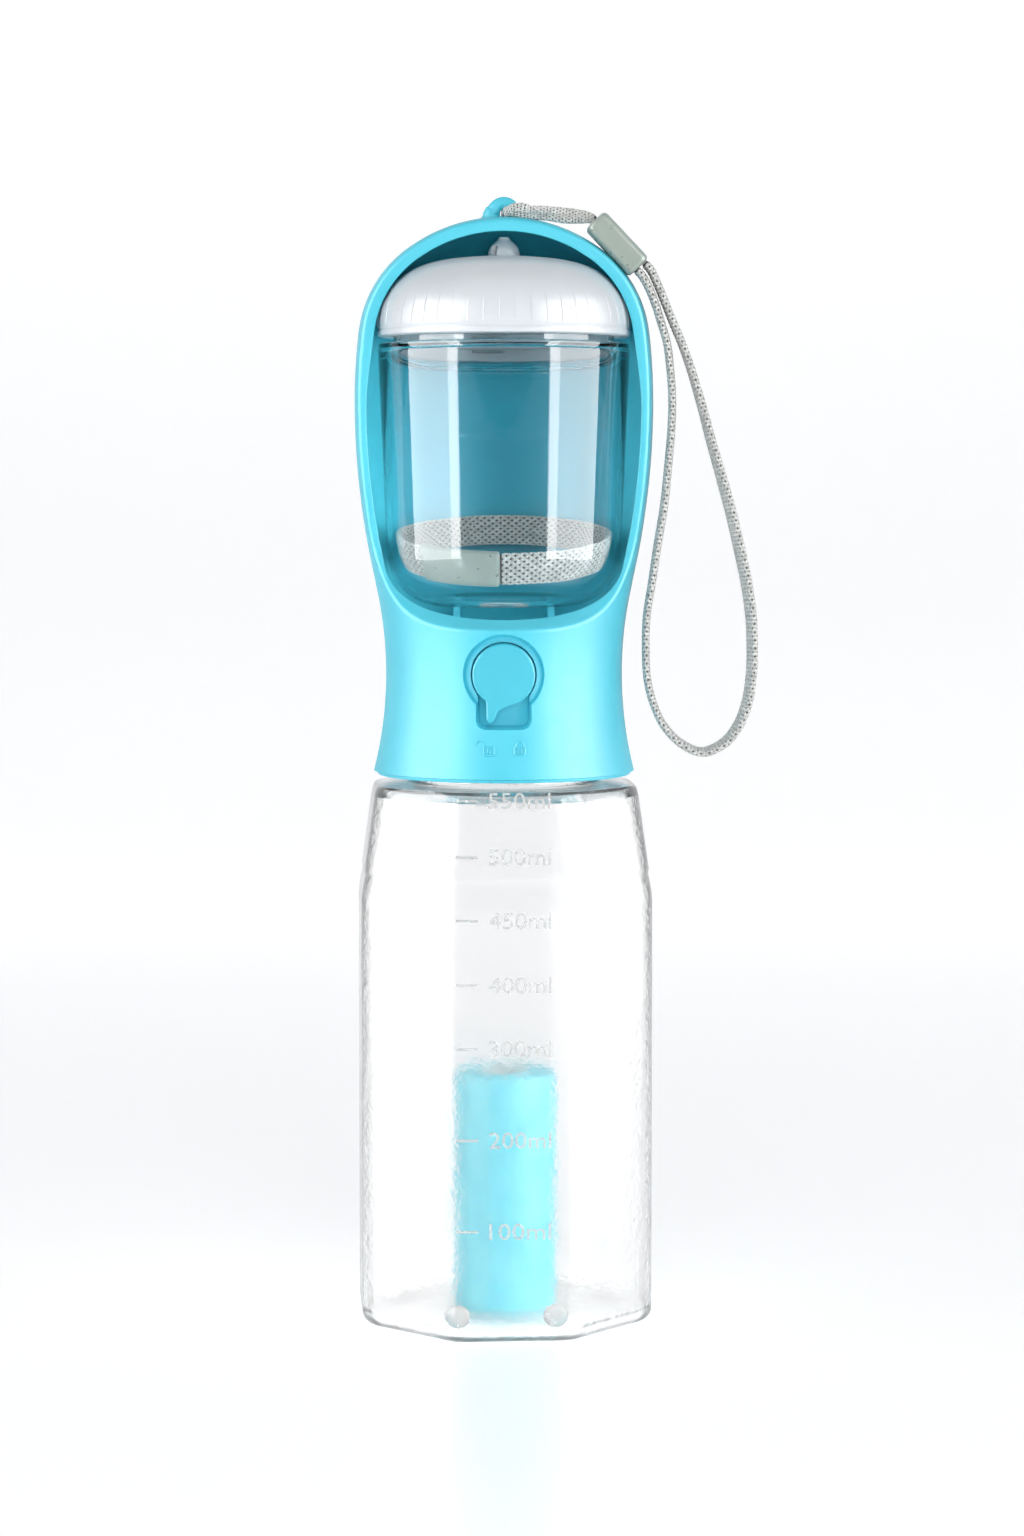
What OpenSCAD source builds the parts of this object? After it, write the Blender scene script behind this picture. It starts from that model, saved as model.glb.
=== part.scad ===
// Portable pet water bottle: a screw-on head that is a drinking trough, with a sprung valve
// under it, a snack container parked in the trough, and a roll of waste bags in the bottle.
// Millimetres. The bottle stands on Z = 0, the axis is Z, and the button faces -Y.

/* [Bottle] */
// Width across the flats of the eight-sided bottle
bottle_across = 74; // [73:0.5:74.5]
// Height of the straight part of the bottle
bottle_straight = 110; // [104:1:112]
// Height of the top of the shoulder, where the neck starts
shoulder_z = 137.6; // [136.8:0.2:138]
// Width across the flats at the top of the shoulder
shoulder_across = 66.5; // [64:0.5:68]
// Thickness of the bottle wall
bottle_wall = 1.2; // [1:0.1:1.6]
// Thickness of the bottle floor
bottle_floor = 1.6; // [1.2:0.1:2]

/* [Neck and thread] */
// Outer radius of the neck
neck_r = 23.4; // [23.2:0.1:23.5]
// Thickness of the neck wall
neck_wall = 1.8; // [1.4:0.1:2.2]
// Height of the lip of the neck
neck_top = 149; // [148.6:0.2:149.2]
// Rise of the two-start thread in one turn
thread_lead = 8; // [7.6:0.2:8.4]

/* [Head] */
// Height of the lower edge of the collar
collar_z = 139.6; // [139.4:0.1:140]
// Radius of the narrowest part of the collar
waist_r = 30.1; // [29.9:0.1:30.4]
// Height of the narrowest part of the collar
waist_z = 165.5; // [165:0.5:166]
// Largest radius of the hood
belly_r = 37.9; // [37.4:0.1:38.2]
// Height of the top of the hood
crown_z = 280.7; // [280.2:0.1:281]
// Distance of the flat rim of the trough in front of the axis
rim_y = 9.8; // [9:0.2:10]
// Height of the front lip of the trough
lip_z = 177.3; // [177:0.1:178]
// Radius of the sweep between the lip and the upright rim
rim_sweep = 24; // [22:0.5:25]
// Thickness of the trough wall
trough_wall = 2.1; // [1.8:0.1:2.2]
// Thickness of the hood over the container
hood_wall = 3; // [2.6:0.1:3.1]
// Height of the trough floor
floor_z = 178; // [177.8:0.1:178.4]

/* [Button and valve] */
// Height of the valve axis
valve_z = 166.3; // [166:0.1:166.6]
// Radius of the round part of the button
button_r = 7.8; // [7.4:0.1:8]
// Thickness of the button
button_t = 2.6; // [2.4:0.1:2.8]
// Reach of the pointer from the button's axis
pointer_reach = 12.4; // [11.6:0.1:12.4]
// Angle of the pointer from straight down when the valve is unlocked
pointer_angle = 15; // [12:1:16]
// Travel of the button
button_travel = 2.6; // [2:0.1:2.6]
// Radius of the plunger stem
stem_r = 3.1; // [2.9:0.1:3.2]
// Number of working turns of the return spring
spring_turns = 7; // [5:1:8]

/* [Snack container] */
// Height of the underside of the cup
cup_z = 182.4; // [182.3:0.1:182.8]
// Radius of the cup just under its flange
cup_r = 32; // [31.6:0.1:32]
// Thickness of the cup wall
cup_wall = 1.3; // [1.1:0.1:1.6]
// Height of the underside of the lid
lid_z = 250.5; // [250.2:0.1:250.8]
// Radius of the lid at its lower edge
lid_r = 32.2; // [31.8:0.1:32.2]
// Height of the lid without its knob
lid_h = 20.3; // [19.6:0.1:20.4]

/* [Bags and straps] */
// Radius of the roll of waste bags
roll_r = 13.3; // [12:0.1:14]
// Length of the roll of waste bags
roll_len = 61; // [50:1:64]
// Width of the woven tape of both straps
tape_w = 8.4; // [8:0.1:8.6]
// Thickness of the woven tape
tape_t = 2.2; // [1.8:0.1:2.2]

/* [Hidden] */
$fn = 96;

far = 100;
half = bottle_across / 2;
shoulder_half = shoulder_across / 2;
corner_r = half + 2.3;
base_round = 3.4;
run = 0.1;
gap = 0.3;

// Thread: the ridges on the neck and in the cap share one helix, half a pitch apart.
thread_starts = 2;
thread_pitch = thread_lead / thread_starts;
ridge_out = 1.2;
thread_z = 143.6;
cap_thread_a = 18;
cap_bore = neck_r + ridge_out + 0.6;
cap_r = cap_bore + 2;
gasket_t = 1.6;
cap_disc_z = neck_top + gasket_t;
cap_disc_t = 2;
cap_top = cap_disc_z + cap_disc_t;
cap_skirt_z = collar_z + 0.8;
cap_thread_z = thread_z - thread_pitch / 2 + thread_lead * cap_thread_a / 360;

// Arcs of the head's outline, each as [centre radius, centre height, arc radius].
waist_arc = 100;
belly_z = 233.9;
belly_arc = 200;
flank_arc = 150;
shoulder_arc = [7, 248.3, 30];
crown_arc = 41.4;
crown_centre = crown_z - crown_arc;
bowl_fillet = 16;
back_y = half;

// Valve, measured along Y from the axis of the bottle.
button_face = 31;
button_back = button_face - button_t;
well_floor = button_back - button_travel - gap;
recess_r = 10.1;
recess_depth = 1.2;
pocket_half = 6.4;
pocket_z = 153.3;
pointer_tip_r = 1;
barrel_r = 7.2;
barrel_bore = 5.8;
barrel_front = well_floor - 2.1;
barrel_back = 19;
guide_len = 5;
seat_t = 2;
seat_hole = 3.4;
inlet_y = 10;
outlet_y = -8;
port_r = 2.6;
flange_h = 0.8;
tube_r = 4.1;
boss_floor = floor_z - 3.4;
stem_thin = 2;
stem_step = -12;
ring_y = -19.2;
ring_t = 1.4;
plug_y = 1.1;
plug_t = 2.4;
plug_r = 4.8;
washer_t = 0.8;
spring_y = plug_y + plug_t + washer_t;
spring_end = 16;
spring_r = 3.8;
wire_r = 0.4;

// Container.
cup_corner = 14;
cup_low_r = 29.8;
flange_z = 247.4;
flange_t = 1.3;
cup_neck_r = 28;
cup_top = 256;
lid_skirt_in = 28.7;
lid_top_t = 1.6;
lid_corner = 12;
lid_corner_c = [17.6, 5.4];
lid_crown_arc = 90;
lug_t = 0.45;
knob_base_r = 4.1;
knob_tip_r = 1.3;
knob_top = 275.7;
rail_x = 12;

// Spare strap: a slanted ring of tape, tipped so that its back is the higher side.
strap_top_r = 28.1;
strap_low_r = 26;
strap_z = 197.3;
strap_tip = 10.5;
crimp_from = -138;
crimp_span = 46;
crimp_extra = 0.8;

// Lanyard: its loop hangs beside the head, in the plane Y = lanyard_y.
lanyard_y = -5;
crimp_a = [23.3, 279.2];
crimp_b = [34.5, 268];
crimp_t = 5.8;
crimp_w = 10.4;
loop_route = [
  [33.7, 267.2], [34.9, 266], [36.4, 263.2], [38, 259], [39.6, 254], [41, 249.4], [41.9, 243],
  [42.5, 235], [42.3, 227], [41.6, 218.6], [40.6, 208.4], [39, 198.4], [37.5, 188], [36.2, 179],
  [36, 171], [36.6, 162], [38, 156.6], [40.6, 151], [44.6, 146.6], [50.4, 144], [56, 146.4],
  [59.8, 151.4], [61.8, 157], [62.8, 164], [63, 173], [62.5, 181], [61.2, 189.5], [59.6, 197],
  [57.5, 206], [55, 215], [52.4, 224], [49.8, 233.6], [47.4, 241.6], [45, 248.4], [42.8, 253.6],
  [40.6, 259], [38.4, 264.2], [36.6, 267.6], [35.4, 268.8]
];
// The doubled tape from the lug to the crimp, with the radius of its bundle at each point.
hitch_route = [
  [-0.4, 4.6, 282.3], [0, 2, 282.4], [0.2, -0.5, 282.4], [1.2, -3, 282.7], [3.6, -4.9, 283.1],
  [7, -5.3, 283.3], [11, -5.2, 283.2], [15, -5.1, 282.6], [19, -5, 281.7], [22.1, -5, 280.4],
  [23.3, -5, 279.2]
];
hitch_r = [1.1, 1.1, 1.1, 1.3, 1.9, 2.4, 2.4, 2.4, 2.3, 2.1, 2.1];
lug_r = 4.35;
lug_wire = 1.3;
lug_z = crown_z + 0.8;

// Points of an arc about c, from angle a to angle b, in n equal steps.
function arc(c, r, a, b, n) = [for (i = [0:n]) let (t = a + (b - a) * i / n) c + r * [cos(t), sin(t)]];

// Radius at height z on an arc that bulges (side 1) or dips (side -1).
function arc_r(c, r, z, side) = c[0] + side * sqrt(r * r - pow(z - c[1], 2));

waist_c = [waist_r + waist_arc, waist_z];
belly_c = [belly_r - belly_arc, belly_z];
flank_c = [belly_r - flank_arc, belly_z];
shoulder_c = [shoulder_arc[0], shoulder_arc[1]];
waist_top = waist_z + (belly_z - waist_z) * waist_arc / (waist_arc + belly_arc);
flank_top = shoulder_c[1] + shoulder_arc[2] * sin(atan2(shoulder_c[1] - belly_z, shoulder_c[0] - flank_c[0]));
shoulder_a = atan2(shoulder_c[1] - belly_z, shoulder_c[0] - flank_c[0]);
crown_a = atan2(shoulder_c[1] - crown_centre, shoulder_c[0]);

// Outline of the head, drawn inwards by inset: collar, belly, flank, shoulder and crown.
function collar_line(inset, z0) =
  [for (z = [z0:3:waist_top]) [arc_r(waist_c, waist_arc, z, -1) - inset, z]];
function belly_line(inset, z0) =
  [for (z = [z0:3.2:flank_top]) [(z < belly_z ? arc_r(belly_c, belly_arc, z, 1) : arc_r(flank_c, flank_arc, z, 1)) - inset, z]];
function hood_line(inset) = concat(
  arc(shoulder_c, shoulder_arc[2] - inset, shoulder_a, crown_a, 10),
  arc([0, crown_centre], crown_arc - inset, crown_a, 90, 10)
);

module head_outline() {
  rotate_extrude($fn = 128)
    polygon(concat(
      [[0, collar_z], [waist_r + 2.3, collar_z]],
      collar_line(0, collar_z + 1), belly_line(0, waist_top + 1), hood_line(0)
    ));
}

// The trough and the space under the hood, which hold the container.
module trough_space() {
  bowl_c = [belly_r - trough_wall - 19.8, floor_z + bowl_fillet];
  rotate_extrude($fn = 128)
    polygon(concat(
      [[0, floor_z]],
      arc(bowl_c, bowl_fillet, -90, 0, 12),
      belly_line(trough_wall, floor_z + bowl_fillet + 4),
      hood_line(hood_wall)
    ));
}

// Everything in front of the rim: an upright face that sweeps out to the front lip.
module front_opening() {
  c = [-rim_y - rim_sweep, lip_z + rim_sweep];
  rotate([90, 0, 90])
    linear_extrude(height = 2 * far, center = true)
      polygon(concat(
        [[-far, lip_z]],
        arc(c, rim_sweep, -90, 0, 16),
        [[-rim_y, crown_z + 1], [-far, crown_z + 1]]
      ));
}

// A cylinder along Y, from y0 to y1, on the valve axis.
module on_valve(r, y0, y1) {
  translate([0, y0, valve_z])
    rotate([-90, 0, 0])
      cylinder(r = r, h = y1 - y0);
}

// The well of the button and the pocket in which its pointer swings.
module button_well() {
  on_valve(button_r + 0.4, -far, -well_floor);
  intersection() {
    on_valve(recess_r, -far, 0);
    difference() {
      translate([-far, -far, valve_z - 15]) cube([2 * far, far, 30]);
      translate([0, 0, valve_z - 16]) cylinder(r = waist_r - recess_depth, h = 32);
    }
  }
  r = 1.6;
  translate([-pocket_half, -far, pocket_z + r]) cube([2 * pocket_half, far - well_floor, 6]);
  translate([-pocket_half + r, -far, pocket_z]) cube([2 * (pocket_half - r), far - well_floor, 6]);
  for (side = [-1, 1])
    translate([side * (pocket_half - r), -far, pocket_z + r])
      rotate([-90, 0, 0])
        cylinder(r = r, h = far - well_floor);
}

module lug() {
  translate([0, 0, lug_z])
    rotate([90, 0, 0])
      rotate_extrude(angle = 180)
        translate([lug_r - lug_wire, 0])
          circle(r = lug_wire, $fn = 32);
  for (side = [-1, 1])
    translate([side * (lug_r - lug_wire), 0, crown_z - 1.4])
      cylinder(r = lug_wire, h = lug_z - crown_z + 1.4, $fn = 32);
}

module head_shell() {
  color("skyblue")
    difference() {
      union() {
        difference() {
          intersection() {
            head_outline();
            translate([-far, -far, 0]) cube([2 * far, far + back_y, 3 * far]);
          }
          trough_space();
          front_opening();
          translate([0, 0, cap_top + run]) cylinder(r = waist_r - 3.6, h = boss_floor - cap_top - run);
        }
        // Solid wall behind the button.
        intersection() {
          translate([-11, -waist_r + 0.6, cap_top + run]) cube([22, waist_r - 0.6 - barrel_front, boss_floor - cap_top]);
          cylinder(r = waist_r - 1, h = 2 * far);
        }
        // Rails that the cup slides on.
        for (side = [-1, 1])
          translate([side * rail_x - 1, -4, floor_z - 1]) cube([2, 24, cup_z - gap - floor_z + 1]);
        lug();
      }
      translate([0, 0, collar_z - 1]) cylinder(r = cap_r + run / 2, h = cap_top + run - collar_z + 1);
      translate([0, 0, collar_z - 1]) cylinder(r = cap_r + 3.4, h = 4);
      button_well();
      on_valve(stem_r + 0.4, -well_floor - 1, -barrel_front + 1);
      translate([0, outlet_y, boss_floor - 1]) cylinder(r = tube_r + 1.4, h = 6);
      translate([0, outlet_y, floor_z - flange_h]) cylinder(r = tube_r + 2.6, h = 2);
    }
}

// One ridge of the thread: a swept trapezium that fades out at both ends.
module ridge(root, crest, z0, start, turns) {
  n = round(turns * 36);
  pts = [for (i = [0:n])
    let (a = start + 360 * turns * i / n, z = z0 + thread_lead * turns * i / n)
    let (r = root + (crest - root) * min(1, 0.55 + min(i, n - i) / 4))
    each [[root * cos(a), root * sin(a), z - 1.1], [r * cos(a), r * sin(a), z - 0.5],
      [r * cos(a), r * sin(a), z + 0.5], [root * cos(a), root * sin(a), z + 1.1]]];
  sides = [for (i = [0:n - 1], k = [0:3]) let (j = (k + 1) % 4) [4 * i + k, 4 * i + j, 4 * i + 4 + j, 4 * i + 4 + k]];
  caps = [[3, 2, 1, 0], [4 * n, 4 * n + 1, 4 * n + 2, 4 * n + 3]];
  split = [for (f = sides) each [[f[0], f[1], f[2]], [f[0], f[2], f[3]]]];
  faces = concat(split, caps);
  polyhedron(points = pts, faces = crest < root ? [for (f = faces) [for (k = [len(f) - 1:-1:0]) f[k]]] : faces);
}

// Side view of the bottle, drawn inwards by inset: half width low up to bend, then tapering past the shoulder.
function bottle_side(low, top, bend, inset, z0) = concat(
  arc([low - inset - base_round, z0 + base_round], base_round, -90, 0, 4),
  [[low - inset, bend], [2 * top - low - inset, 2 * shoulder_z - bend]]
);

// Eight-sided body of the bottle: side views crossed over the flats and over the turned-off corners.
module bottle_body(inset, z0) {
  intersection() {
    translate([-far, -far, z0]) cube([2 * far, 2 * far, shoulder_z - inset - z0]);
    intersection_for(k = [0:7]) {
      side = k % 2 == 0 ? bottle_side(half, shoulder_half, bottle_straight, inset, z0)
        : bottle_side(corner_r, shoulder_half + 1.6, bottle_straight - 3, inset, z0);
      rotate([90, 0, k * 22.5])
        linear_extrude(height = far, center = true)
          polygon(concat(side, [for (i = [len(side) - 1:-1:0]) [-side[i][0], side[i][1]]]));
    }
  }
}

module bottle() {
  color("whitesmoke", 0.4)
    union() {
      difference() {
        union() {
          bottle_body(0, 0);
          translate([0, 0, shoulder_z - 1]) cylinder(r = neck_r, h = neck_top - shoulder_z + 1);
        }
        bottle_body(bottle_wall, bottle_floor);
        translate([0, 0, shoulder_z - 3]) cylinder(r = neck_r - neck_wall, h = 3 * bottle_floor + far);
      }
      for (k = [0:thread_starts - 1])
        ridge(neck_r - 0.5, neck_r + ridge_out, thread_z, k * 360 / thread_starts, 0.5);
    }
}

module bag_roll() {
  color("paleturquoise")
    translate([0, 0, bottle_floor + gap])
      difference() {
        cylinder(r = roll_r, h = roll_len);
        translate([0, 0, -1]) cylinder(r = 6.5, h = roll_len + 2);
      }
}

module roll_core() {
  color("burlywood")
    translate([0, 0, bottle_floor + gap])
      difference() {
        cylinder(r = 6.5, h = roll_len);
        translate([0, 0, -1]) cylinder(r = 5.3, h = roll_len + 2);
      }
}

module neck_gasket() {
  color("white")
    translate([0, 0, neck_top])
      difference() {
        cylinder(r = neck_r + 0.8, h = gasket_t);
        translate([0, 0, -1]) cylinder(r = neck_r - neck_wall - 0.6, h = gasket_t + 2);
      }
}

module neck_cap() {
  color("skyblue")
    union() {
      difference() {
        translate([0, 0, cap_skirt_z]) cylinder(r = cap_r, h = cap_top - cap_skirt_z);
        translate([0, 0, cap_skirt_z - 1]) cylinder(r = cap_bore, h = cap_disc_z - cap_skirt_z + 1);
        translate([0, inlet_y, cap_disc_z - 1]) cylinder(r = port_r, h = cap_disc_t + 2);
      }
      for (k = [0:thread_starts - 1])
        ridge(cap_bore + 0.5, neck_r + 0.5, cap_thread_z, cap_thread_a + k * 360 / thread_starts, 0.4);
    }
}

module inlet_seal() {
  color("white")
    translate([0, inlet_y, cap_top])
      difference() {
        cylinder(r = tube_r, h = 1.2);
        translate([0, 0, -1]) cylinder(r = port_r, h = 4);
      }
}

module valve_barrel() {
  color("lightskyblue")
    difference() {
      union() {
        on_valve(barrel_r, -barrel_front, barrel_back);
        translate([0, inlet_y, cap_top + 1.2]) cylinder(r = tube_r, h = valve_z - cap_top - 1.2);
        translate([0, outlet_y, valve_z]) cylinder(r = tube_r - 0.1, h = floor_z - valve_z);
      }
      on_valve(stem_r + run, -barrel_front - 1, 0);
      on_valve(barrel_bore, -barrel_front + guide_len, -seat_t / 2);
      on_valve(seat_hole, -seat_t, seat_t);
      on_valve(barrel_bore, seat_t / 2, barrel_back + 1);
      translate([0, inlet_y, cap_top]) cylinder(r = port_r, h = valve_z - cap_top);
      translate([0, outlet_y, valve_z]) cylinder(r = port_r, h = floor_z + 1 - valve_z);
    }
}

module outlet_grommet() {
  color("white")
    translate([0, outlet_y, 0])
      difference() {
        union() {
          translate([0, 0, boss_floor]) cylinder(r = tube_r + 1.4, h = floor_z - boss_floor);
          translate([0, 0, floor_z - flange_h]) cylinder(r = tube_r + 2.6, h = flange_h);
        }
        translate([0, 0, boss_floor - 1]) cylinder(r = tube_r - 0.1, h = 8);
      }
}

module barrel_end_cap() {
  color("lightskyblue")
    difference() {
      union() {
        on_valve(barrel_r, barrel_back, barrel_back + 1.5);
        on_valve(barrel_bore, spring_end, barrel_back);
        on_valve(2.6, spring_end - 2, spring_end);
      }
      difference() {
        on_valve(barrel_bore + 1, spring_end + 0.8, spring_end + 0.8 + ring_t);
        on_valve(barrel_bore - 1, 0, far);
      }
    }
}

module end_cap_seal() {
  color("dimgray")
    difference() {
      on_valve(barrel_bore, spring_end + 0.8, spring_end + 0.8 + ring_t);
      on_valve(barrel_bore - 1, 0, far);
    }
}

module plunger_stem() {
  color("gainsboro")
    difference() {
      union() {
        on_valve(stem_r, -button_back - 1.4, stem_step);
        on_valve(stem_thin, stem_step, spring_y + 2.4);
      }
      difference() {
        on_valve(stem_r + 1, ring_y, ring_y + ring_t);
        on_valve(stem_r - 0.9, -far, far);
      }
    }
}

module stem_o_ring() {
  color("dimgray")
    difference() {
      on_valve(stem_r + run / 2, ring_y, ring_y + ring_t);
      on_valve(stem_r - 0.9, -far, far);
    }
}

module valve_plug() {
  color("dimgray")
    difference() {
      on_valve(plug_r, plug_y, plug_y + plug_t);
      on_valve(stem_thin, -far, far);
    }
}

module spring_washer() {
  color("silver")
    difference() {
      on_valve(plug_r, plug_y + plug_t, spring_y);
      on_valve(stem_thin, -far, far);
    }
}

// Joins rings of n points into one closed skin.
function skin_faces(rings, n) = concat(
  [[for (k = [0:n - 1]) k]],
  [for (i = [0:rings - 2], k = [0:n - 1]) let (j = (k + 1) % n) each
    [[i * n + k, i * n + n + k, i * n + n + j], [i * n + k, i * n + n + j, i * n + j]]],
  [[for (k = [n - 1:-1:0]) (rings - 1) * n + k]]
);

module return_spring() {
  steps = 14;
  sides = 8;
  count = spring_turns * steps;
  rise = (spring_end - spring_y - 2 * wire_r) / count;
  pts = [for (i = [0:count], k = [0:sides - 1])
    let (a = i * 360 / steps, t = k * 360 / sides, r = spring_r + wire_r * cos(t))
    [r * cos(a), spring_y + wire_r + i * rise + wire_r * sin(t), valve_z + r * sin(a)]];
  color("silver") polyhedron(points = pts, faces = skin_faces(count + 1, sides));
}

module button_cap() {
  reach = pointer_reach - pointer_tip_r;
  color("skyblue")
    difference() {
      union() {
        on_valve(button_r, -button_face + 0.5, -button_back);
        translate([0, -button_face, valve_z])
          rotate([-90, 0, 0])
            cylinder(r1 = button_r - 0.5, r2 = button_r, h = 0.5);
        translate([0, -button_back, valve_z])
          rotate([90, 0, 0])
            linear_extrude(height = button_t - 0.2)
              rotate(-pointer_angle)
                union() {
                  polygon([[-pointer_tip_r, -reach], [pointer_tip_r, -reach], [4.9, -5.6], [0, -2], [-2.4, -6.6]]);
                  translate([0, -reach]) circle(r = pointer_tip_r, $fn = 32);
                }
      }
      on_valve(stem_r + run, -button_back - 1.5, 0);
    }
}

// Outline of the cup, drawn inwards by inset.
function cup_line(inset) = concat(
  [[0, cup_z + inset]],
  arc([cup_low_r - cup_corner, cup_z + cup_corner], cup_corner - inset, -90, -3, 10),
  [[cup_r - inset, flange_z]]
);

module container_cup() {
  color("whitesmoke", 0.4)
    difference() {
      union() {
        rotate_extrude($fn = 128) polygon(concat(cup_line(0), [[0, flange_z]]));
        translate([0, 0, flange_z]) cylinder(r = cup_r - 0.3, h = flange_t);
        translate([0, 0, flange_z + flange_t]) cylinder(r = cup_neck_r, h = cup_top - flange_z - flange_t);
        for (k = [0:3])
          rotate(k * 90)
            translate([0, 0, lid_z + 2])
              rotate_extrude(angle = 18)
                translate([cup_neck_r - 0.5, 0])
                  square([lug_t + 0.5, 1.2]);
      }
      rotate_extrude($fn = 128)
        polygon(concat(cup_line(cup_wall), [[cup_neck_r - cup_wall, flange_z + 1], [cup_neck_r - cup_wall, far * 3], [0, far * 3]]));
      // Ring groove under the floor, which leaves a narrow foot.
      translate([0, 0, cup_z - 1]) cylinder(r = 10, h = 1.3);
    }
}

module cup_seal() {
  color("white")
    translate([0, 0, cup_top])
      difference() {
        cylinder(r = cup_neck_r, h = 1.4);
        translate([0, 0, -1]) cylinder(r = cup_neck_r - 2.2, h = 4);
      }
}

// Outline of the domed lid, drawn inwards by inset, in heights above its lower edge.
function lid_line(inset, a0) = let (
  crown_c = [0, lid_h - lid_crown_arc],
  top_a = atan2(lid_corner_c[1] - crown_c[1], lid_corner_c[0])
) concat(
  arc(lid_corner_c, lid_corner - inset, a0, top_a, 8),
  arc(crown_c, lid_crown_arc - inset, top_a, 90, 6)
);

module container_lid() {
  seat = cup_top + 1.4 - lid_z;
  color("white")
    difference() {
      union() {
        difference() {
          translate([0, 0, lid_z])
            rotate_extrude($fn = 128)
              polygon(concat([[0, 0], [lid_r - 0.6, 0], [lid_r, 0.6]], lid_line(0, 17)));
          translate([0, 0, lid_z - 1]) cylinder(r = lid_skirt_in, h = 4.4);
          translate([0, 0, lid_z - 1]) cylinder(r = cup_neck_r + run, h = seat + 1);
          translate([0, 0, lid_z])
            rotate_extrude($fn = 128)
              polygon(concat([[0, seat - 1], [cup_neck_r - 3, seat - 1]], lid_line(lid_top_t, 45)));
        }
        // The knob, a teardrop with an eye.
        translate([0, 0, lid_z + lid_h - 1.5])
          cylinder(r1 = knob_base_r, r2 = knob_tip_r, h = knob_top - knob_tip_r - lid_z - lid_h + 1.5);
        translate([0, 0, knob_top - knob_tip_r]) sphere(r = knob_tip_r, $fn = 32);
      }
      translate([0, 0, lid_z + lid_h + 1.5])
        rotate([90, 0, 35])
          cylinder(r = 0.9, h = 20, center = true, $fn = 32);
    }
}

// The slanted band of the spare strap, over span degrees from a0, thickened by extra.
module strap_band(a0, span, extra) {
  lean = strap_top_r - strap_low_r;
  low = -tape_w / 2 - extra / 2;
  high = tape_w / 2 + extra / 2;
  inner = tape_t - 0.2 + extra;
  translate([0, 0, strap_z])
    rotate([strap_tip, 0, 0])
      rotate(a0)
        rotate_extrude(angle = span)
          polygon([[strap_low_r - inner, low], [strap_low_r, low], [strap_low_r + lean, high], [strap_top_r - inner, high]]);
}

module spare_strap() {
  color("darkgray") strap_band(crimp_from + crimp_span, 360 - crimp_span, 0);
}

module spare_strap_crimp() {
  color("honeydew", 0.7) strap_band(crimp_from, crimp_span, crimp_extra);
}

function unit(v) = v / norm(v);

// Sides of a bundle that is almost round, swept along route with radius radii.
module bundle(route, radii, sides) {
  last = len(route) - 1;
  pts = [for (i = [0:last])
    let (t = unit(route[min(i + 1, last)] - route[max(i - 1, 0)]))
    let (u = unit(cross(t, [0, 0, 1])), v = cross(u, t))
    each [for (k = [0:sides - 1]) let (a = -k * 360 / sides) route[i] + radii[i] * (cos(a) * u + sin(a) * v)]];
  polyhedron(points = pts, faces = skin_faces(last + 1, sides));
}

module lanyard_hitch() {
  color("darkgray") bundle(hitch_route, hitch_r, 8);
}

// Frame of the crimp: its axis runs from crimp_a down to crimp_b.
module crimp_box(length, thick, wide, c) {
  lean = atan2(crimp_b[0] - crimp_a[0], crimp_a[1] - crimp_b[1]);
  translate([crimp_a[0], lanyard_y, crimp_a[1]])
    rotate([0, 180 - lean, 0])
      linear_extrude(height = length)
        polygon([
          [-thick / 2 + c, -wide / 2], [thick / 2 - c, -wide / 2], [thick / 2, -wide / 2 + c],
          [thick / 2, wide / 2 - c], [thick / 2 - c, wide / 2], [-thick / 2 + c, wide / 2],
          [-thick / 2, wide / 2 - c], [-thick / 2, -wide / 2 + c]
        ]);
}

module lanyard_crimp() {
  color("honeydew", 0.8) crimp_box(norm(crimp_b - crimp_a), crimp_t, crimp_w, 1);
}

// The loop of flat tape, whose width lies along Y: one skin along the route.
module lanyard_loop() {
  last = len(loop_route) - 1;
  c = tape_t / 4;
  w = tape_w / 2;
  h = tape_t / 2;
  section = [[h, w - c], [h - c, w], [c - h, w], [-h, w - c], [-h, c - w], [c - h, -w], [h - c, -w], [h, c - w]];
  pts = [for (i = [0:last])
    let (t = unit(loop_route[min(i + 1, last)] - loop_route[max(i - 1, 0)]), n = [-t[1], t[0]])
    each [for (s = section) [loop_route[i][0] + n[0] * s[0], lanyard_y + s[1], loop_route[i][1] + n[1] * s[0]]]];
  color("darkgray") polyhedron(points = pts, faces = skin_faces(last + 1, 8));
}

bottle();
bag_roll();
roll_core();
neck_gasket();
head_shell();
neck_cap();
valve_barrel();
inlet_seal();
outlet_grommet();
barrel_end_cap();
end_cap_seal();
plunger_stem();
stem_o_ring();
valve_plug();
spring_washer();
return_spring();
button_cap();
container_cup();
cup_seal();
container_lid();
spare_strap();
spare_strap_crimp();
lanyard_hitch();
lanyard_crimp();
lanyard_loop();
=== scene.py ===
# %% [markdown]
# # A walk-along drinking bottle for pets
# The bottle holds water, the blue head is a small drinking trough, and a snack cup is parked in
# that trough. Pressing the round button opens a sprung valve between the two.
# The first cell loads the finished frame: every CAD part is already in place, in metres. All that
# is made here goes on top of it, and each new piece says which CAD part it stands for.

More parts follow.
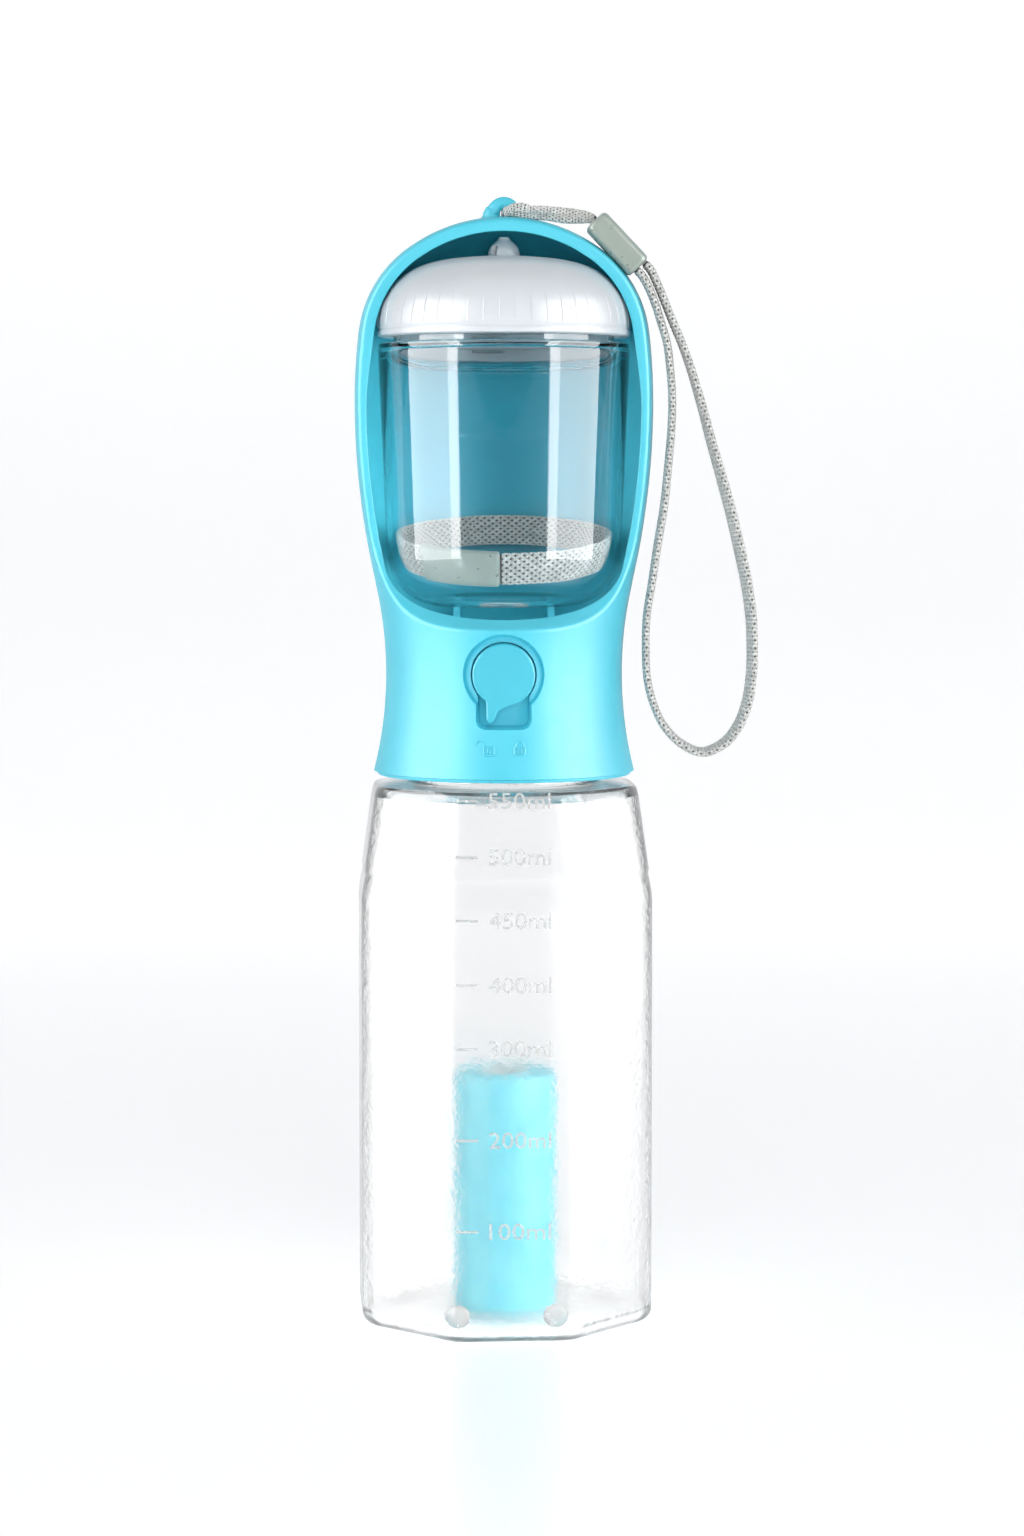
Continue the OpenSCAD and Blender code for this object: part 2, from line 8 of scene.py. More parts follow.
# %% Load the frame
import math
import bmesh
import bpy
import numpy as np
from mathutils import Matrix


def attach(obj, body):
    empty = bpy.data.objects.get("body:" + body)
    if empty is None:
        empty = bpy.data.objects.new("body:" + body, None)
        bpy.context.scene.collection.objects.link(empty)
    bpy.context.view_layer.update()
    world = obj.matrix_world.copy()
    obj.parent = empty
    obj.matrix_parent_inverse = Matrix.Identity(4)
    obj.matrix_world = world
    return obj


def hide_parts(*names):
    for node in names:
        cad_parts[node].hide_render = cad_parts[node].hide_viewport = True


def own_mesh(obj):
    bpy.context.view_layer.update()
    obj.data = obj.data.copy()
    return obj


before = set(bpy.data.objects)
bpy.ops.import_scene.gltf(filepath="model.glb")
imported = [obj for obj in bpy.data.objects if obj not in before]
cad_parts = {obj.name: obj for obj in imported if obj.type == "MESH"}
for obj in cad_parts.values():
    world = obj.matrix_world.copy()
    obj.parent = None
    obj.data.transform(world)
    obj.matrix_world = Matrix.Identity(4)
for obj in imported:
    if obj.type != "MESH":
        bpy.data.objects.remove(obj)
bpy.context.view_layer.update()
MM = 0.001

# %% [markdown]
# ## The camera
# A long lens far away keeps the bottle's sides straight, as in a catalogue picture. The camera
# stands a little above the middle of the bottle and looks slightly down on it.

# %% Camera
camera = bpy.data.objects.new("camera", bpy.data.cameras.new("camera"))
camera.data.lens = 84.52
camera.data.sensor_width = 36
camera.data.clip_end = 20
camera.location = (0.00205, -0.92, 0.214)
camera.rotation_euler = (math.radians(90 - 4.542), 0, 0)
bpy.context.scene.collection.objects.link(camera)
bpy.context.scene.camera = camera
print("camera lens:", camera.data.lens, "mm")

# %% [markdown]
# ## Small helpers for materials
# Every finish here is a Principled shader with a few noise textures in front of it. Object
# coordinates are in metres, so a scale of 1000 gives grains about one millimetre across.
# Numbers that are the same all over, such as the index of refraction, stay on the shader itself.

# %% Material helpers
def new_material(name, base, rough, **inputs):
    mat = bpy.data.materials.new(name)
    mat.use_nodes = True
    shader = mat.node_tree.nodes["Principled BSDF"]
    shader.inputs["Base Color"].default_value = (*base, 1)
    shader.inputs["Roughness"].default_value = rough
    for key, value in inputs.items():
        shader.inputs[key.replace("_", " ")].default_value = value
    return mat, mat.node_tree, shader


def noise(tree, scale, detail=2.0, squeeze=(1, 1, 1)):
    coords = tree.nodes.new("ShaderNodeTexCoord")
    place = tree.nodes.new("ShaderNodeMapping")
    place.inputs["Scale"].default_value = squeeze
    grain = tree.nodes.new("ShaderNodeTexNoise")
    grain.inputs["Scale"].default_value = scale
    grain.inputs["Detail"].default_value = detail
    tree.links.new(coords.outputs["Object"], place.inputs["Vector"])
    tree.links.new(place.outputs["Vector"], grain.inputs["Vector"])
    return grain.outputs["Fac"]


def spread(tree, fac, low, high):
    ramp = tree.nodes.new("ShaderNodeMapRange")
    ramp.inputs["From Min"].default_value = 0.3
    ramp.inputs["From Max"].default_value = 0.7
    ramp.inputs["To Min"].default_value = low
    ramp.inputs["To Max"].default_value = high
    tree.links.new(fac, ramp.inputs["Value"])
    return ramp.outputs["Result"]


def mottle(tree, shader, fac, dark, light):
    mix = tree.nodes.new("ShaderNodeMix")
    mix.data_type = "RGBA"
    mix.inputs["A"].default_value = (*dark, 1)
    mix.inputs["B"].default_value = (*light, 1)
    tree.links.new(spread(tree, fac, 0, 1), mix.inputs["Factor"])
    tree.links.new(mix.outputs["Result"], shader.inputs["Base Color"])


def relief(tree, shader, fac, depth_mm, strength=1.0, before=None):
    bump = tree.nodes.new("ShaderNodeBump")
    bump.inputs["Distance"].default_value = depth_mm * MM
    bump.inputs["Strength"].default_value = strength
    tree.links.new(fac, bump.inputs["Height"])
    if before is not None:
        tree.links.new(before, bump.inputs["Normal"])
    tree.links.new(bump.outputs["Normal"], shader.inputs["Normal"])
    return bump.outputs["Normal"]


# %% [markdown]
# ## Moulded plastics
# The blue head is injection moulded: even colour with a very slight mottle, a satin skin and a
# faint orange-peel. The lid is the same kind of plastic in cool white. A little scattering under
# the surface keeps thin edges bright.

# %% Opaque plastics
def moulded(name, dark, light, rough, glow):
    mat, tree, shader = new_material(name, light, rough)
    shader.inputs["Subsurface Weight"].default_value = glow
    shader.inputs["Subsurface Radius"].default_value = (0.5, 0.9, 1.0)
    shader.inputs["Subsurface Scale"].default_value = 0.0015
    shader.inputs["IOR"].default_value = 1.49
    mottle(tree, shader, noise(tree, 60, 3), dark, light)
    rough_out = spread(tree, noise(tree, 380, 4), rough - 0.04, rough + 0.05)
    tree.links.new(rough_out, shader.inputs["Roughness"])
    relief(tree, shader, noise(tree, 900, 2), 0.02, 0.5)
    return mat


blue_satin = moulded("blue_satin", (0.058, 0.535, 0.680), (0.066, 0.565, 0.710), 0.46, 0.10)
button_blue = moulded("button_blue", (0.047, 0.470, 0.610), (0.054, 0.500, 0.645), 0.32, 0.08)
lid_white = moulded("lid_white", (0.585, 0.617, 0.648), (0.615, 0.645, 0.675), 0.32, 0.15)
valve_blue = moulded("valve_blue", (0.30, 0.58, 0.72), (0.36, 0.64, 0.78), 0.38, 0.1)
stem_grey = moulded("stem_grey", (0.70, 0.71, 0.70), (0.78, 0.79, 0.78), 0.32, 0.1)
print("opaque plastics:", [m.name for m in (blue_satin, lid_white, valve_blue, stem_grey)])

# %% [markdown]
# ## Clear plastics
# A blown bottle has a wavy wall: a slow ripple bends what is behind it, and a finer one frosts it.
# The snack cup is moulded against polished steel, so it is nearly perfect glass-like plastic.
# For shadow rays the plastic is simply open, so the lamps reach what stands behind it.

# %% Clear plastics
def clear(name, tint, rough, slow, fine, passing=0.92):
    mat, tree, shader = new_material(name, tint, rough)
    shader.inputs["Transmission Weight"].default_value = 1.0
    shader.inputs["IOR"].default_value = 1.46
    shader.inputs["Specular IOR Level"].default_value = 0.5
    normal = relief(tree, shader, noise(tree, 260, 2), slow)
    relief(tree, shader, noise(tree, 900, 3), fine, 1.0, normal)
    rough_out = spread(tree, noise(tree, 90, 3), rough, rough + 0.04)
    tree.links.new(rough_out, shader.inputs["Roughness"])
    path = tree.nodes.new("ShaderNodeLightPath")
    open_air = tree.nodes.new("ShaderNodeBsdfTransparent")
    open_air.inputs["Color"].default_value = (passing, passing, passing, 1)
    mix = tree.nodes.new("ShaderNodeMixShader")
    tree.links.new(path.outputs["Is Shadow Ray"], mix.inputs[0])
    tree.links.new(shader.outputs["BSDF"], mix.inputs[1])
    tree.links.new(open_air.outputs["BSDF"], mix.inputs[2])
    tree.links.new(mix.outputs["Shader"], tree.nodes["Material Output"].inputs["Surface"])
    return mat


bottle_clear = clear("bottle_clear", (0.975, 0.975, 0.972), 0.17, 0.12, 0.06)
cup_clear = clear("cup_clear", (0.90, 0.975, 1.0), 0.008, 0.004, 0.001)
crimp_clear = moulded("crimp_clear", (0.36, 0.43, 0.385), (0.42, 0.49, 0.44), 0.30, 0.2)
crimp_clear.node_tree.nodes["Principled BSDF"].inputs["Transmission Weight"].default_value = 0.35
scale_clear = moulded("scale_clear", (0.80, 0.81, 0.81), (0.86, 0.87, 0.87), 0.25, 0.1)
scale_clear.node_tree.nodes["Principled BSDF"].inputs["Transmission Weight"].default_value = 0.55
print("clear plastics ready")

# %% [markdown]
# ## Braid, film, rubber, metal and card
# Braided cord is two finishes: grey yarn floats that catch the light, and the tape under them, near
# black as painted shade in the gaps. The waste bags are thin pale film, so they scatter light like wax.

# %% Other finishes
def yarn(name, dark, light, rough, sheen):
    mat, tree, shader = new_material(name, light, rough)
    shader.inputs["Sheen Weight"].default_value = sheen
    shader.inputs["Sheen Roughness"].default_value = 0.4
    mottle(tree, shader, noise(tree, 900, 3), dark, light)
    relief(tree, shader, noise(tree, 5200, 2, (1, 1, 0.4)), 0.06, 0.8)
    return mat


def plain(name, dark, light, rough, grain, depth, metal=0.0):
    mat, tree, shader = new_material(name, light, rough)
    shader.inputs["Metallic"].default_value = metal
    mottle(tree, shader, noise(tree, grain, 4), dark, light)
    rough_out = spread(tree, noise(tree, grain * 2, 3), rough - 0.05, rough + 0.08)
    tree.links.new(rough_out, shader.inputs["Roughness"])
    relief(tree, shader, noise(tree, grain * 6, 2), depth, 0.6)
    return mat


braid_floats = yarn("braid_floats", (0.36, 0.365, 0.35), (0.64, 0.645, 0.625), 0.30, 0.3)
# Painted shade: the tape under the floats is near black, darker than its grey yarn, so the gaps between the
# floats read as shaded.
braid_ground_painted_shade = yarn("braid_ground_painted_shade", (0.035, 0.036, 0.034), (0.08, 0.082, 0.078), 0.75, 0.1)
pale_film = plain("pale_film", (0.12, 0.58, 0.70), (0.20, 0.68, 0.78), 0.45, 120, 0.1)
pale_film.node_tree.nodes["Principled BSDF"].inputs["Subsurface Weight"].default_value = 0.3
pale_film.node_tree.nodes["Principled BSDF"].inputs["Subsurface Scale"].default_value = 0.004
card = plain("card", (0.60, 0.66, 0.66), (0.72, 0.77, 0.77), 0.85, 700, 0.08)
dark_rubber = plain("dark_rubber", (0.02, 0.02, 0.02), (0.045, 0.045, 0.045), 0.6, 900, 0.02)
pale_rubber = plain("pale_rubber", (0.72, 0.74, 0.74), (0.82, 0.84, 0.84), 0.5, 500, 0.02)
steel = plain("steel", (0.55, 0.56, 0.57), (0.68, 0.69, 0.70), 0.25, 800, 0.01, 1.0)
print("other finishes ready")

# %% [markdown]
# ## Small helpers for meshes
# The pieces are written in millimetres and scaled once, when they become a mesh. Double points
# along a seam are merged first, and only then are the faces turned outwards. Edges that fold by
# more than a stated angle are kept crisp.

# %% Mesh helpers
def make_object(name, verts, faces, materials, picks=None, sharp=38):
    mesh = bpy.data.meshes.new(name)
    mesh.from_pydata((np.asarray(verts, float) * MM).tolist(), [], faces)
    for mat in materials:
        mesh.materials.append(mat)
    if picks is not None:
        mesh.polygons.foreach_set("material_index", picks)
    bm = bmesh.new()
    bm.from_mesh(mesh)
    bmesh.ops.remove_doubles(bm, verts=bm.verts, dist=3e-7)
    bmesh.ops.recalc_face_normals(bm, faces=bm.faces)
    for face in bm.faces:
        face.smooth = True
    for edge in bm.edges:
        edge.smooth = len(edge.link_faces) != 2 or edge.calc_face_angle() < math.radians(sharp)
    bm.to_mesh(mesh)
    bm.free()
    obj = bpy.data.objects.new(name, mesh)
    bpy.context.scene.collection.objects.link(obj)
    return obj


def finish_piece(obj, body, slot, *nodes):
    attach(obj, body)
    if nodes:
        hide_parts(*nodes)
    tris = sum(len(p.vertices) - 2 for p in obj.data.polygons)
    loose = sum(1 for e in edge_uses(obj.data) if e == 1)
    print(f"{obj.name}: {tris} triangles, {loose} open edges")


def edge_uses(mesh):
    uses = np.zeros(len(mesh.edges), int)
    loops = np.zeros(len(mesh.loops), int)
    mesh.loops.foreach_get("edge_index", loops)
    np.add.at(uses, loops, 1)
    return uses


def grid_faces(rows, wrap=False, flip=False):
    """Quads between rows of vertex numbers; a repeated number makes a triangle."""
    faces = []
    for low, high in zip(rows[:-1], rows[1:]):
        count = len(low) if wrap else len(low) - 1
        for k in range(count):
            j = (k + 1) % len(low)
            quad = [low[k], low[j], high[j], high[k]]
            quad = [v for i, v in enumerate(quad) if v not in quad[:i]]
            if len(quad) > 2:
                faces.append(quad[::-1] if flip else quad)
    return faces


def lathe(profile, steps=160, closed=False):
    verts = []
    rows = []
    turn = np.arange(steps) * 2 * math.pi / steps
    for r, z in profile:
        base = len(verts)
        if r < 0.01:
            verts.append((0, 0, z))
            rows.append([base] * steps)
        else:
            verts += list(zip(r * np.cos(turn), r * np.sin(turn), np.full(steps, z)))
            rows.append(list(range(base, base + steps)))
    if closed:
        rows.append(rows[0])
    return verts, grid_faces(rows, wrap=True)


def soften(points, radii, steps=4):
    """Rounds each corner of a polyline by its own radius."""
    pts = [np.array(p, float) for p in points]
    out = []
    for i, p in enumerate(pts):
        r = radii[i]
        if r == 0 or i == 0 or i == len(pts) - 1:
            out.append(tuple(p))
            continue
        a = pts[i - 1] - p
        b = pts[i + 1] - p
        reach = min(r, 0.48 * np.linalg.norm(a), 0.48 * np.linalg.norm(b))
        a = p + a / np.linalg.norm(a) * reach
        b = p + b / np.linalg.norm(b) * reach
        for t in np.linspace(0, 1, steps + 1):
            out.append(tuple((1 - t) ** 2 * a + 2 * t * (1 - t) * p + t ** 2 * b))
    return out


def arc(centre, r, a, b, n):
    t = np.radians(np.linspace(a, b, n + 1))
    return [(centre[0] + r * math.cos(x), centre[1] + r * math.sin(x)) for x in t]


def smooth(x):
    x = np.clip(x, 0, 1)
    return x * x * (3 - 2 * x)


def resample(path, step):
    """Points of a smooth curve through path, about step apart."""
    path = np.asarray(path, float)
    knots = np.r_[0, np.cumsum(np.linalg.norm(np.diff(path, axis=0), axis=1))]
    fine = np.linspace(0, knots[-1], 4000)
    curve = np.stack([hermite(knots, path[:, k], fine) for k in range(path.shape[1])], 1)
    run = np.r_[0, np.cumsum(np.linalg.norm(np.diff(curve, axis=0), axis=1))]
    stations = np.linspace(0, run[-1], max(4, int(round(run[-1] / step))) + 1)
    return np.stack([np.interp(stations, run, curve[:, k]) for k in range(path.shape[1])], 1)


def hermite(knots, values, at):
    slope = np.gradient(values, knots)
    i = np.clip(np.searchsorted(knots, at, side="right") - 1, 0, len(knots) - 2)
    h = knots[i + 1] - knots[i]
    t = (at - knots[i]) / h
    a = (1 + 2 * t) * (1 - t) ** 2 * values[i] + t * (1 - t) ** 2 * h * slope[i]
    return a + t * t * (3 - 2 * t) * values[i + 1] + t * t * (t - 1) * h * slope[i + 1]


def unit(v):
    v = np.asarray(v, float)
    return v / np.linalg.norm(v, axis=-1, keepdims=True)


# %% [markdown]
# ## The braid, made with Geometry Nodes
# Flat braided cord looks like rows of bright beads: each bead is one float of yarn lying over
# its neighbours. The tape itself is a plain tube whose mesh points are the places of the floats.
# One node tree puts a small stretched ball on every point, leaning left and right in turn, and
# joins them to the tape. The same tree makes all the tapes here, with other sizes.

# %% Braid node tree
def braid_tree():
    tree = bpy.data.node_groups.new("braid", "GeometryNodeTree")
    face = tree.interface
    face.new_socket("Tape", in_out="INPUT", socket_type="NodeSocketGeometry")
    for name, value in (("Float Length", 0.0007), ("Float Width", 0.0004), ("Float Height", 0.0003)):
        face.new_socket(name, in_out="INPUT", socket_type="NodeSocketFloat").default_value = value
    face.new_socket("Yarn", in_out="INPUT", socket_type="NodeSocketMaterial")
    face.new_socket("Ground", in_out="INPUT", socket_type="NodeSocketMaterial")
    face.new_socket("Braid", in_out="OUTPUT", socket_type="NodeSocketGeometry")
    new = tree.nodes.new
    link = tree.links.new
    source = new("NodeGroupInput")
    result = new("NodeGroupOutput")
    ball = new("GeometryNodeMeshIcoSphere")
    ball.inputs["Radius"].default_value = 1.0
    ball.inputs["Subdivisions"].default_value = 1
    size = new("ShaderNodeCombineXYZ")
    for axis, name in zip("XYZ", ("Float Length", "Float Width", "Float Height")):
        link(source.outputs[name], size.inputs[axis])
    along = new("GeometryNodeInputNamedAttribute")
    along.data_type = "FLOAT_VECTOR"
    along.inputs["Name"].default_value = "along"
    lean = new("GeometryNodeInputNamedAttribute")
    lean.data_type = "FLOAT"
    lean.inputs["Name"].default_value = "lean"
    show = new("GeometryNodeInputNamedAttribute")
    show.data_type = "BOOLEAN"
    show.inputs["Name"].default_value = "site"
    normal = new("GeometryNodeInputNormal")
    turned = new("ShaderNodeVectorRotate")
    link(along.outputs["Attribute"], turned.inputs["Vector"])
    link(normal.outputs["Normal"], turned.inputs["Axis"])
    link(lean.outputs["Attribute"], turned.inputs["Angle"])
    axes = new("FunctionNodeAxesToRotation")
    axes.primary_axis = "Z"
    axes.secondary_axis = "X"
    link(normal.outputs["Normal"], axes.inputs[0])
    link(turned.outputs["Vector"], axes.inputs[1])
    place = new("GeometryNodeInstanceOnPoints")
    link(source.outputs["Tape"], place.inputs["Points"])
    link(show.outputs["Attribute"], place.inputs["Selection"])
    link(ball.outputs["Mesh"], place.inputs["Instance"])
    link(axes.outputs["Rotation"], place.inputs["Rotation"])
    link(size.outputs["Vector"], place.inputs["Scale"])
    real = new("GeometryNodeRealizeInstances")
    link(place.outputs["Instances"], real.inputs["Geometry"])
    soft = new("GeometryNodeSetShadeSmooth")
    link(real.outputs["Geometry"], soft.inputs["Geometry"])
    paint = new("GeometryNodeSetMaterial")
    link(soft.outputs["Geometry"], paint.inputs["Geometry"])
    link(source.outputs["Yarn"], paint.inputs["Material"])
    # The tape under the floats gets the near-black finish that paints the shade in the gaps.
    under = new("GeometryNodeSetMaterial")
    link(source.outputs["Tape"], under.inputs["Geometry"])
    link(source.outputs["Ground"], under.inputs["Material"])
    join = new("GeometryNodeJoinGeometry")
    link(paint.outputs["Geometry"], join.inputs["Geometry"])
    link(under.outputs["Geometry"], join.inputs["Geometry"])
    link(join.outputs["Geometry"], result.inputs["Braid"])
    return tree


def socket_id(tree, name):
    return next(s.identifier for s in tree.interface.items_tree if s.name == name)


def bake(obj):
    """Turns what the modifiers make into the object's own plain mesh."""
    graph = bpy.context.evaluated_depsgraph_get()
    mesh = bpy.data.meshes.new_from_object(obj.evaluated_get(graph), depsgraph=graph)
    obj.modifiers.clear()
    obj.data = mesh
    return obj


BRAID = braid_tree()
print("braid tree:", len(BRAID.nodes), "nodes")

# %% [markdown]
# ## Tapes
# A tape follows a line of points. At each point it has a direction across, so it can lie flat,
# stand on edge or twist. Its section is a flat oval, and both ends are closed.

# %% Tape builder
def tape(name, path, across, width, thick, around=22, blunt=3.0, size=(0.78, 0.42, 0.30), lean=0.5):
    path = np.asarray(path, float)
    ahead = unit(np.gradient(path, axis=0))
    across = np.asarray(across, float)
    across = unit(across - (across * ahead).sum(1, keepdims=True) * ahead)
    out = np.cross(ahead, across)
    turn = (np.arange(around) + 0.5) * 2 * math.pi / around
    c = np.cos(turn)
    s = np.sin(turn)
    u = np.sign(c) * np.abs(c) ** (2 / blunt)
    v = np.sign(s) * np.abs(s) ** (2 / blunt)
    section = np.c_[u * np.mean(width), v * np.mean(thick)]
    loop = np.r_[0, np.cumsum(np.linalg.norm(np.diff(section, axis=0), axis=1))]
    whole = loop[-1] + float(np.linalg.norm(section[0] - section[-1]))
    even = np.arange(around) * whole / around
    u = np.interp(even, np.r_[loop, whole], np.r_[u, u[0]])
    v = np.interp(even, np.r_[loop, whole], np.r_[v, v[0]])
    width = np.broadcast_to(width, len(path))
    thick = np.broadcast_to(thick, len(path))
    verts = []
    rows = []
    tilt = []
    for i in range(len(path)):
        rows.append(list(range(len(verts), len(verts) + around)))
        for k in range(around):
            push = across[i] * u[k] * (width[i] / 2 - size[2] * 0.8)
            push = push + out[i] * v[k] * (thick[i] / 2 - size[2] * 0.8)
            verts.append(path[i] + push)
            tilt.append(lean if (i + k) % 2 else -lean)
    faces = grid_faces(rows, wrap=True)
    faces += [rows[0][::-1], rows[-1]]
    mesh = bpy.data.meshes.new(name)
    mesh.from_pydata((np.asarray(verts) * MM).tolist(), [], faces)
    bm = bmesh.new()
    bm.from_mesh(mesh)
    bmesh.ops.recalc_face_normals(bm, faces=bm.faces)
    bm.to_mesh(mesh)
    bm.free()
    mesh.shade_smooth()
    mesh.attributes.new("along", "FLOAT_VECTOR", "POINT")
    mesh.attributes.new("lean", "FLOAT", "POINT")
    mesh.attributes.new("site", "BOOLEAN", "POINT")
    mesh.attributes["along"].data.foreach_set("vector", np.repeat(ahead, around, 0).ravel())
    mesh.attributes["lean"].data.foreach_set("value", tilt)
    site = np.ones(len(tilt), bool)
    site[:around] = False
    site[-around:] = False
    mesh.attributes["site"].data.foreach_set("value", site)
    obj = bpy.data.objects.new(name, mesh)
    bpy.context.scene.collection.objects.link(obj)
    mod = obj.modifiers.new("braid", "NODES")
    mod.node_group = BRAID
    for key, value in zip(("Float Length", "Float Width", "Float Height"), size):
        mod[socket_id(BRAID, key)] = value * MM
    mod[socket_id(BRAID, "Yarn")] = braid_floats
    mod[socket_id(BRAID, "Ground")] = braid_ground_painted_shade
    return bake(obj)


# %% [markdown]
# ## The lanyard loop
# One length of braid leaves the lower end of the crimp, hangs down beside the head, turns at the
# bottom and comes back up into the same crimp. Its wide side faces left and right, so from the
# front only its edge shows. It sways a little out of plane, as real tape does.

# %% Lanyard loop
LANYARD_Y = -5.0
LOOP_ROUTE = [
    (33.3, 267.2), (34.5, 266), (36.2, 263.2), (38, 259), (39.6, 254), (41, 249.4), (41.9, 243),
    (42.5, 235), (42.3, 227), (41.6, 218.6), (40.6, 208.4), (39, 198.4), (37.5, 188), (36.2, 179),
    (36, 171), (36.6, 162), (38, 156.6), (40.6, 151), (44.6, 146.6), (50.4, 144), (56, 146.4),
    (59.8, 151.4), (61.8, 157), (62.8, 164), (63, 173), (62.5, 181), (61.2, 189.5), (59.6, 197),
    (57.5, 206), (55, 215), (52.4, 224), (49.8, 233.6), (47.4, 241.6), (45, 248.4), (42.8, 253.6),
    (40.6, 259), (38.4, 264.2), (36.6, 267.6), (35.4, 268.8)
]
raised = [z + 1.4 * max(0, 200 - z) / 56 for x, z in LOOP_ROUTE]
loop_path = resample([(x, LANYARD_Y, z) for (x, _), z in zip(LOOP_ROUTE, raised)], 1.02)
share = np.linspace(0, 1, len(loop_path))
twist = 0.15 * smooth((share - 0.42) / 0.15) * smooth((1 - share) / 0.25) + 0.02 * np.sin(20 * share)
loop_ahead = unit(np.gradient(loop_path, axis=0))
loop_side = np.cross(loop_ahead, (0, 1, 0))
loop_across = np.cos(twist)[:, None] * np.array((0, 1.0, 0)) + np.sin(twist)[:, None] * loop_side
lanyard = tape("lanyard_tape", loop_path, loop_across, 8.4, 2.0)
finish_piece(lanyard, "head", "woven_tape", "lanyard_loop")

# %% [markdown]
# ## The hitch, between the lug and the crimp
# The same tape, doubled and folded lengthwise, passes through the lug as a lark's-head knot. It is
# shown as two folded strands, one above the other, that part round the right leg of the lug.

# %% Hitch
HITCH_ROUTE = [
    (-0.4, 4.6, 282.0), (0, 2, 282.1), (0.2, -0.5, 282.1), (1.2, -3, 281.9), (3.6, -4.9, 281.6),
    (7, -5.3, 281.4), (11, -5.2, 281.2), (15, -5.1, 280.7), (19, -5, 280.4), (21.6, -5, 280.1),
    (23.1, -5, 279.4)
]
hitch_path = resample(HITCH_ROUTE, 0.8)
count = len(hitch_path)
share = np.linspace(0, 1, count)
lift = 0.5 + 0.32 * smooth((share - 0.3) / 0.3) * smooth((1 - share) / 0.2)
lift = lift * (1 + 0.10 * np.sin(share * 19))
strands = []
for side in (1, -1):
    line = hitch_path.copy()
    line[:, 2] += side * lift
    line[:, 1] += 0.5 * side * np.sin(share * 9)
    wide = 1.5 + 0.75 * smooth((share - 0.25) / 0.4) * smooth((1 - share) / 0.12)
    strand = tape(f"hitch_{'upper' if side > 0 else 'lower'}", line, [(0, 0.35 * side, 1.0)] * count,
                  wide, 1.0 + 0.9 * smooth(share / 0.4), 14, 2.4, (0.6, 0.3, 0.2))
    strands.append(strand)
bight = [(0.2, -2.6, 281.2), (1.3, -4.4, 282.0), (3.2, -5.9, 282.7), (5.4, -6.2, 282.5),
         (6.6, -4.6, 281.9), (6.3, -2.2, 281.6), (5.5, 0.8, 281.6), (3.9, 3.1, 281.7),
         (1.6, 3.5, 281.8), (0.3, 2.6, 281.9)]
bight_path = resample(bight, 0.8)
bight = tape("lanyard_bight", bight_path, [(0, 0, 1.0)] * len(bight_path),
             2.3, 1.3, 14, 2.4, (0.6, 0.3, 0.2))
finish_piece(bight, "head", "woven_tape")


def joined(name, parts):
    bm = bmesh.new()
    mats = []
    for part in parts:
        start = len(bm.faces)
        bm.from_mesh(part.data)
        bm.faces.ensure_lookup_table()
        own = [m for m in part.data.materials]
        mats += [m for m in own if m not in mats]
        for face in bm.faces[start:]:
            face.material_index = mats.index(own[face.material_index])
        bpy.data.objects.remove(part)
    mesh = bpy.data.meshes.new(name)
    bm.to_mesh(mesh)
    bm.free()
    for mat in mats:
        mesh.materials.append(mat)
    obj = bpy.data.objects.new(name, mesh)
    bpy.context.scene.collection.objects.link(obj)
    return obj


hitch = joined("lanyard_knot", strands)
print("hitch:", round(float(np.linalg.norm(np.diff(hitch_path, axis=0), axis=1).sum())), "mm")

# %% [markdown]
# ## Crimps
# A crimp is a short moulded sleeve that grips the ends of the tape. It is a rounded box with
# slightly pinched ends, made from rings of a squared-off oval, 40 points to a ring.

# %% Crimp builder
def sleeve(name, path, across, width, thick, material, ends=1.3):
    path = np.asarray(path, float)
    ahead = unit(np.gradient(path, axis=0))
    across = unit(np.asarray(across, float))
    out = np.cross(ahead, across)
    run = np.r_[0, np.cumsum(np.linalg.norm(np.diff(path, axis=0), axis=1))]
    near = np.minimum(run, run[-1] - run)
    pinch = np.sqrt(np.clip(1 - (1 - np.clip(near / ends, 0, 1)) ** 2, 0, 1))
    turn = np.arange(40) * 2 * math.pi / 40
    u = np.sign(np.cos(turn)) * np.abs(np.cos(turn)) ** 0.5
    v = np.sign(np.sin(turn)) * np.abs(np.sin(turn)) ** 0.5
    verts = []
    rows = []
    for i, p in enumerate(path):
        rows.append(list(range(len(verts), len(verts) + 40)))
        w = width / 2 - ends * (1 - pinch[i]) * 0.8
        t = thick / 2 - ends * (1 - pinch[i]) * 0.8
        verts += [p + across[i] * u[k] * w + out[i] * v[k] * t for k in range(40)]
    faces = grid_faces(rows, wrap=True)
    for row, p in ((rows[0], path[0]), (rows[-1], path[-1])):
        verts.append(p)
        faces += [[row[k], row[(k + 1) % 40], len(verts) - 1] for k in range(40)]
    return make_object(name, verts, faces, [material], sharp=50)


def eased(a, b, n, ends=1.3):
    """Stations from a to b, close together near both ends."""
    a = np.asarray(a, float)
    b = np.asarray(b, float)
    length = np.linalg.norm(b - a)
    tip = ends * (1 - np.cos(np.linspace(0, math.pi / 2, 7)))
    mid = np.linspace(tip[-1], length - tip[-1], n)[1:-1]
    s = np.r_[tip, mid, (length - tip)[::-1]]
    return a + (b - a) * (s / length)[:, None]


CRIMP_A = np.array((22.9, LANYARD_Y, 279.4))
CRIMP_B = np.array((34.0, LANYARD_Y, 267.7))
crimp_path = eased(CRIMP_A, CRIMP_B, 12)
crimp = sleeve("lanyard_sleeve", crimp_path, [(0, 1, 0)] * len(crimp_path), 10.4, 6.8, crimp_clear)
finish_piece(crimp, "head", "crimp_plastic", "lanyard_crimp")
finish_piece(hitch, "head", "woven_tape", "lanyard_hitch")

# %% [markdown]
# ## The spare strap in the cup
# A second, shorter wrist strap is coiled inside the clear cup. It is one ring of tape that leans
# against the wall, higher at the back, closed by its own crimp at the front left.

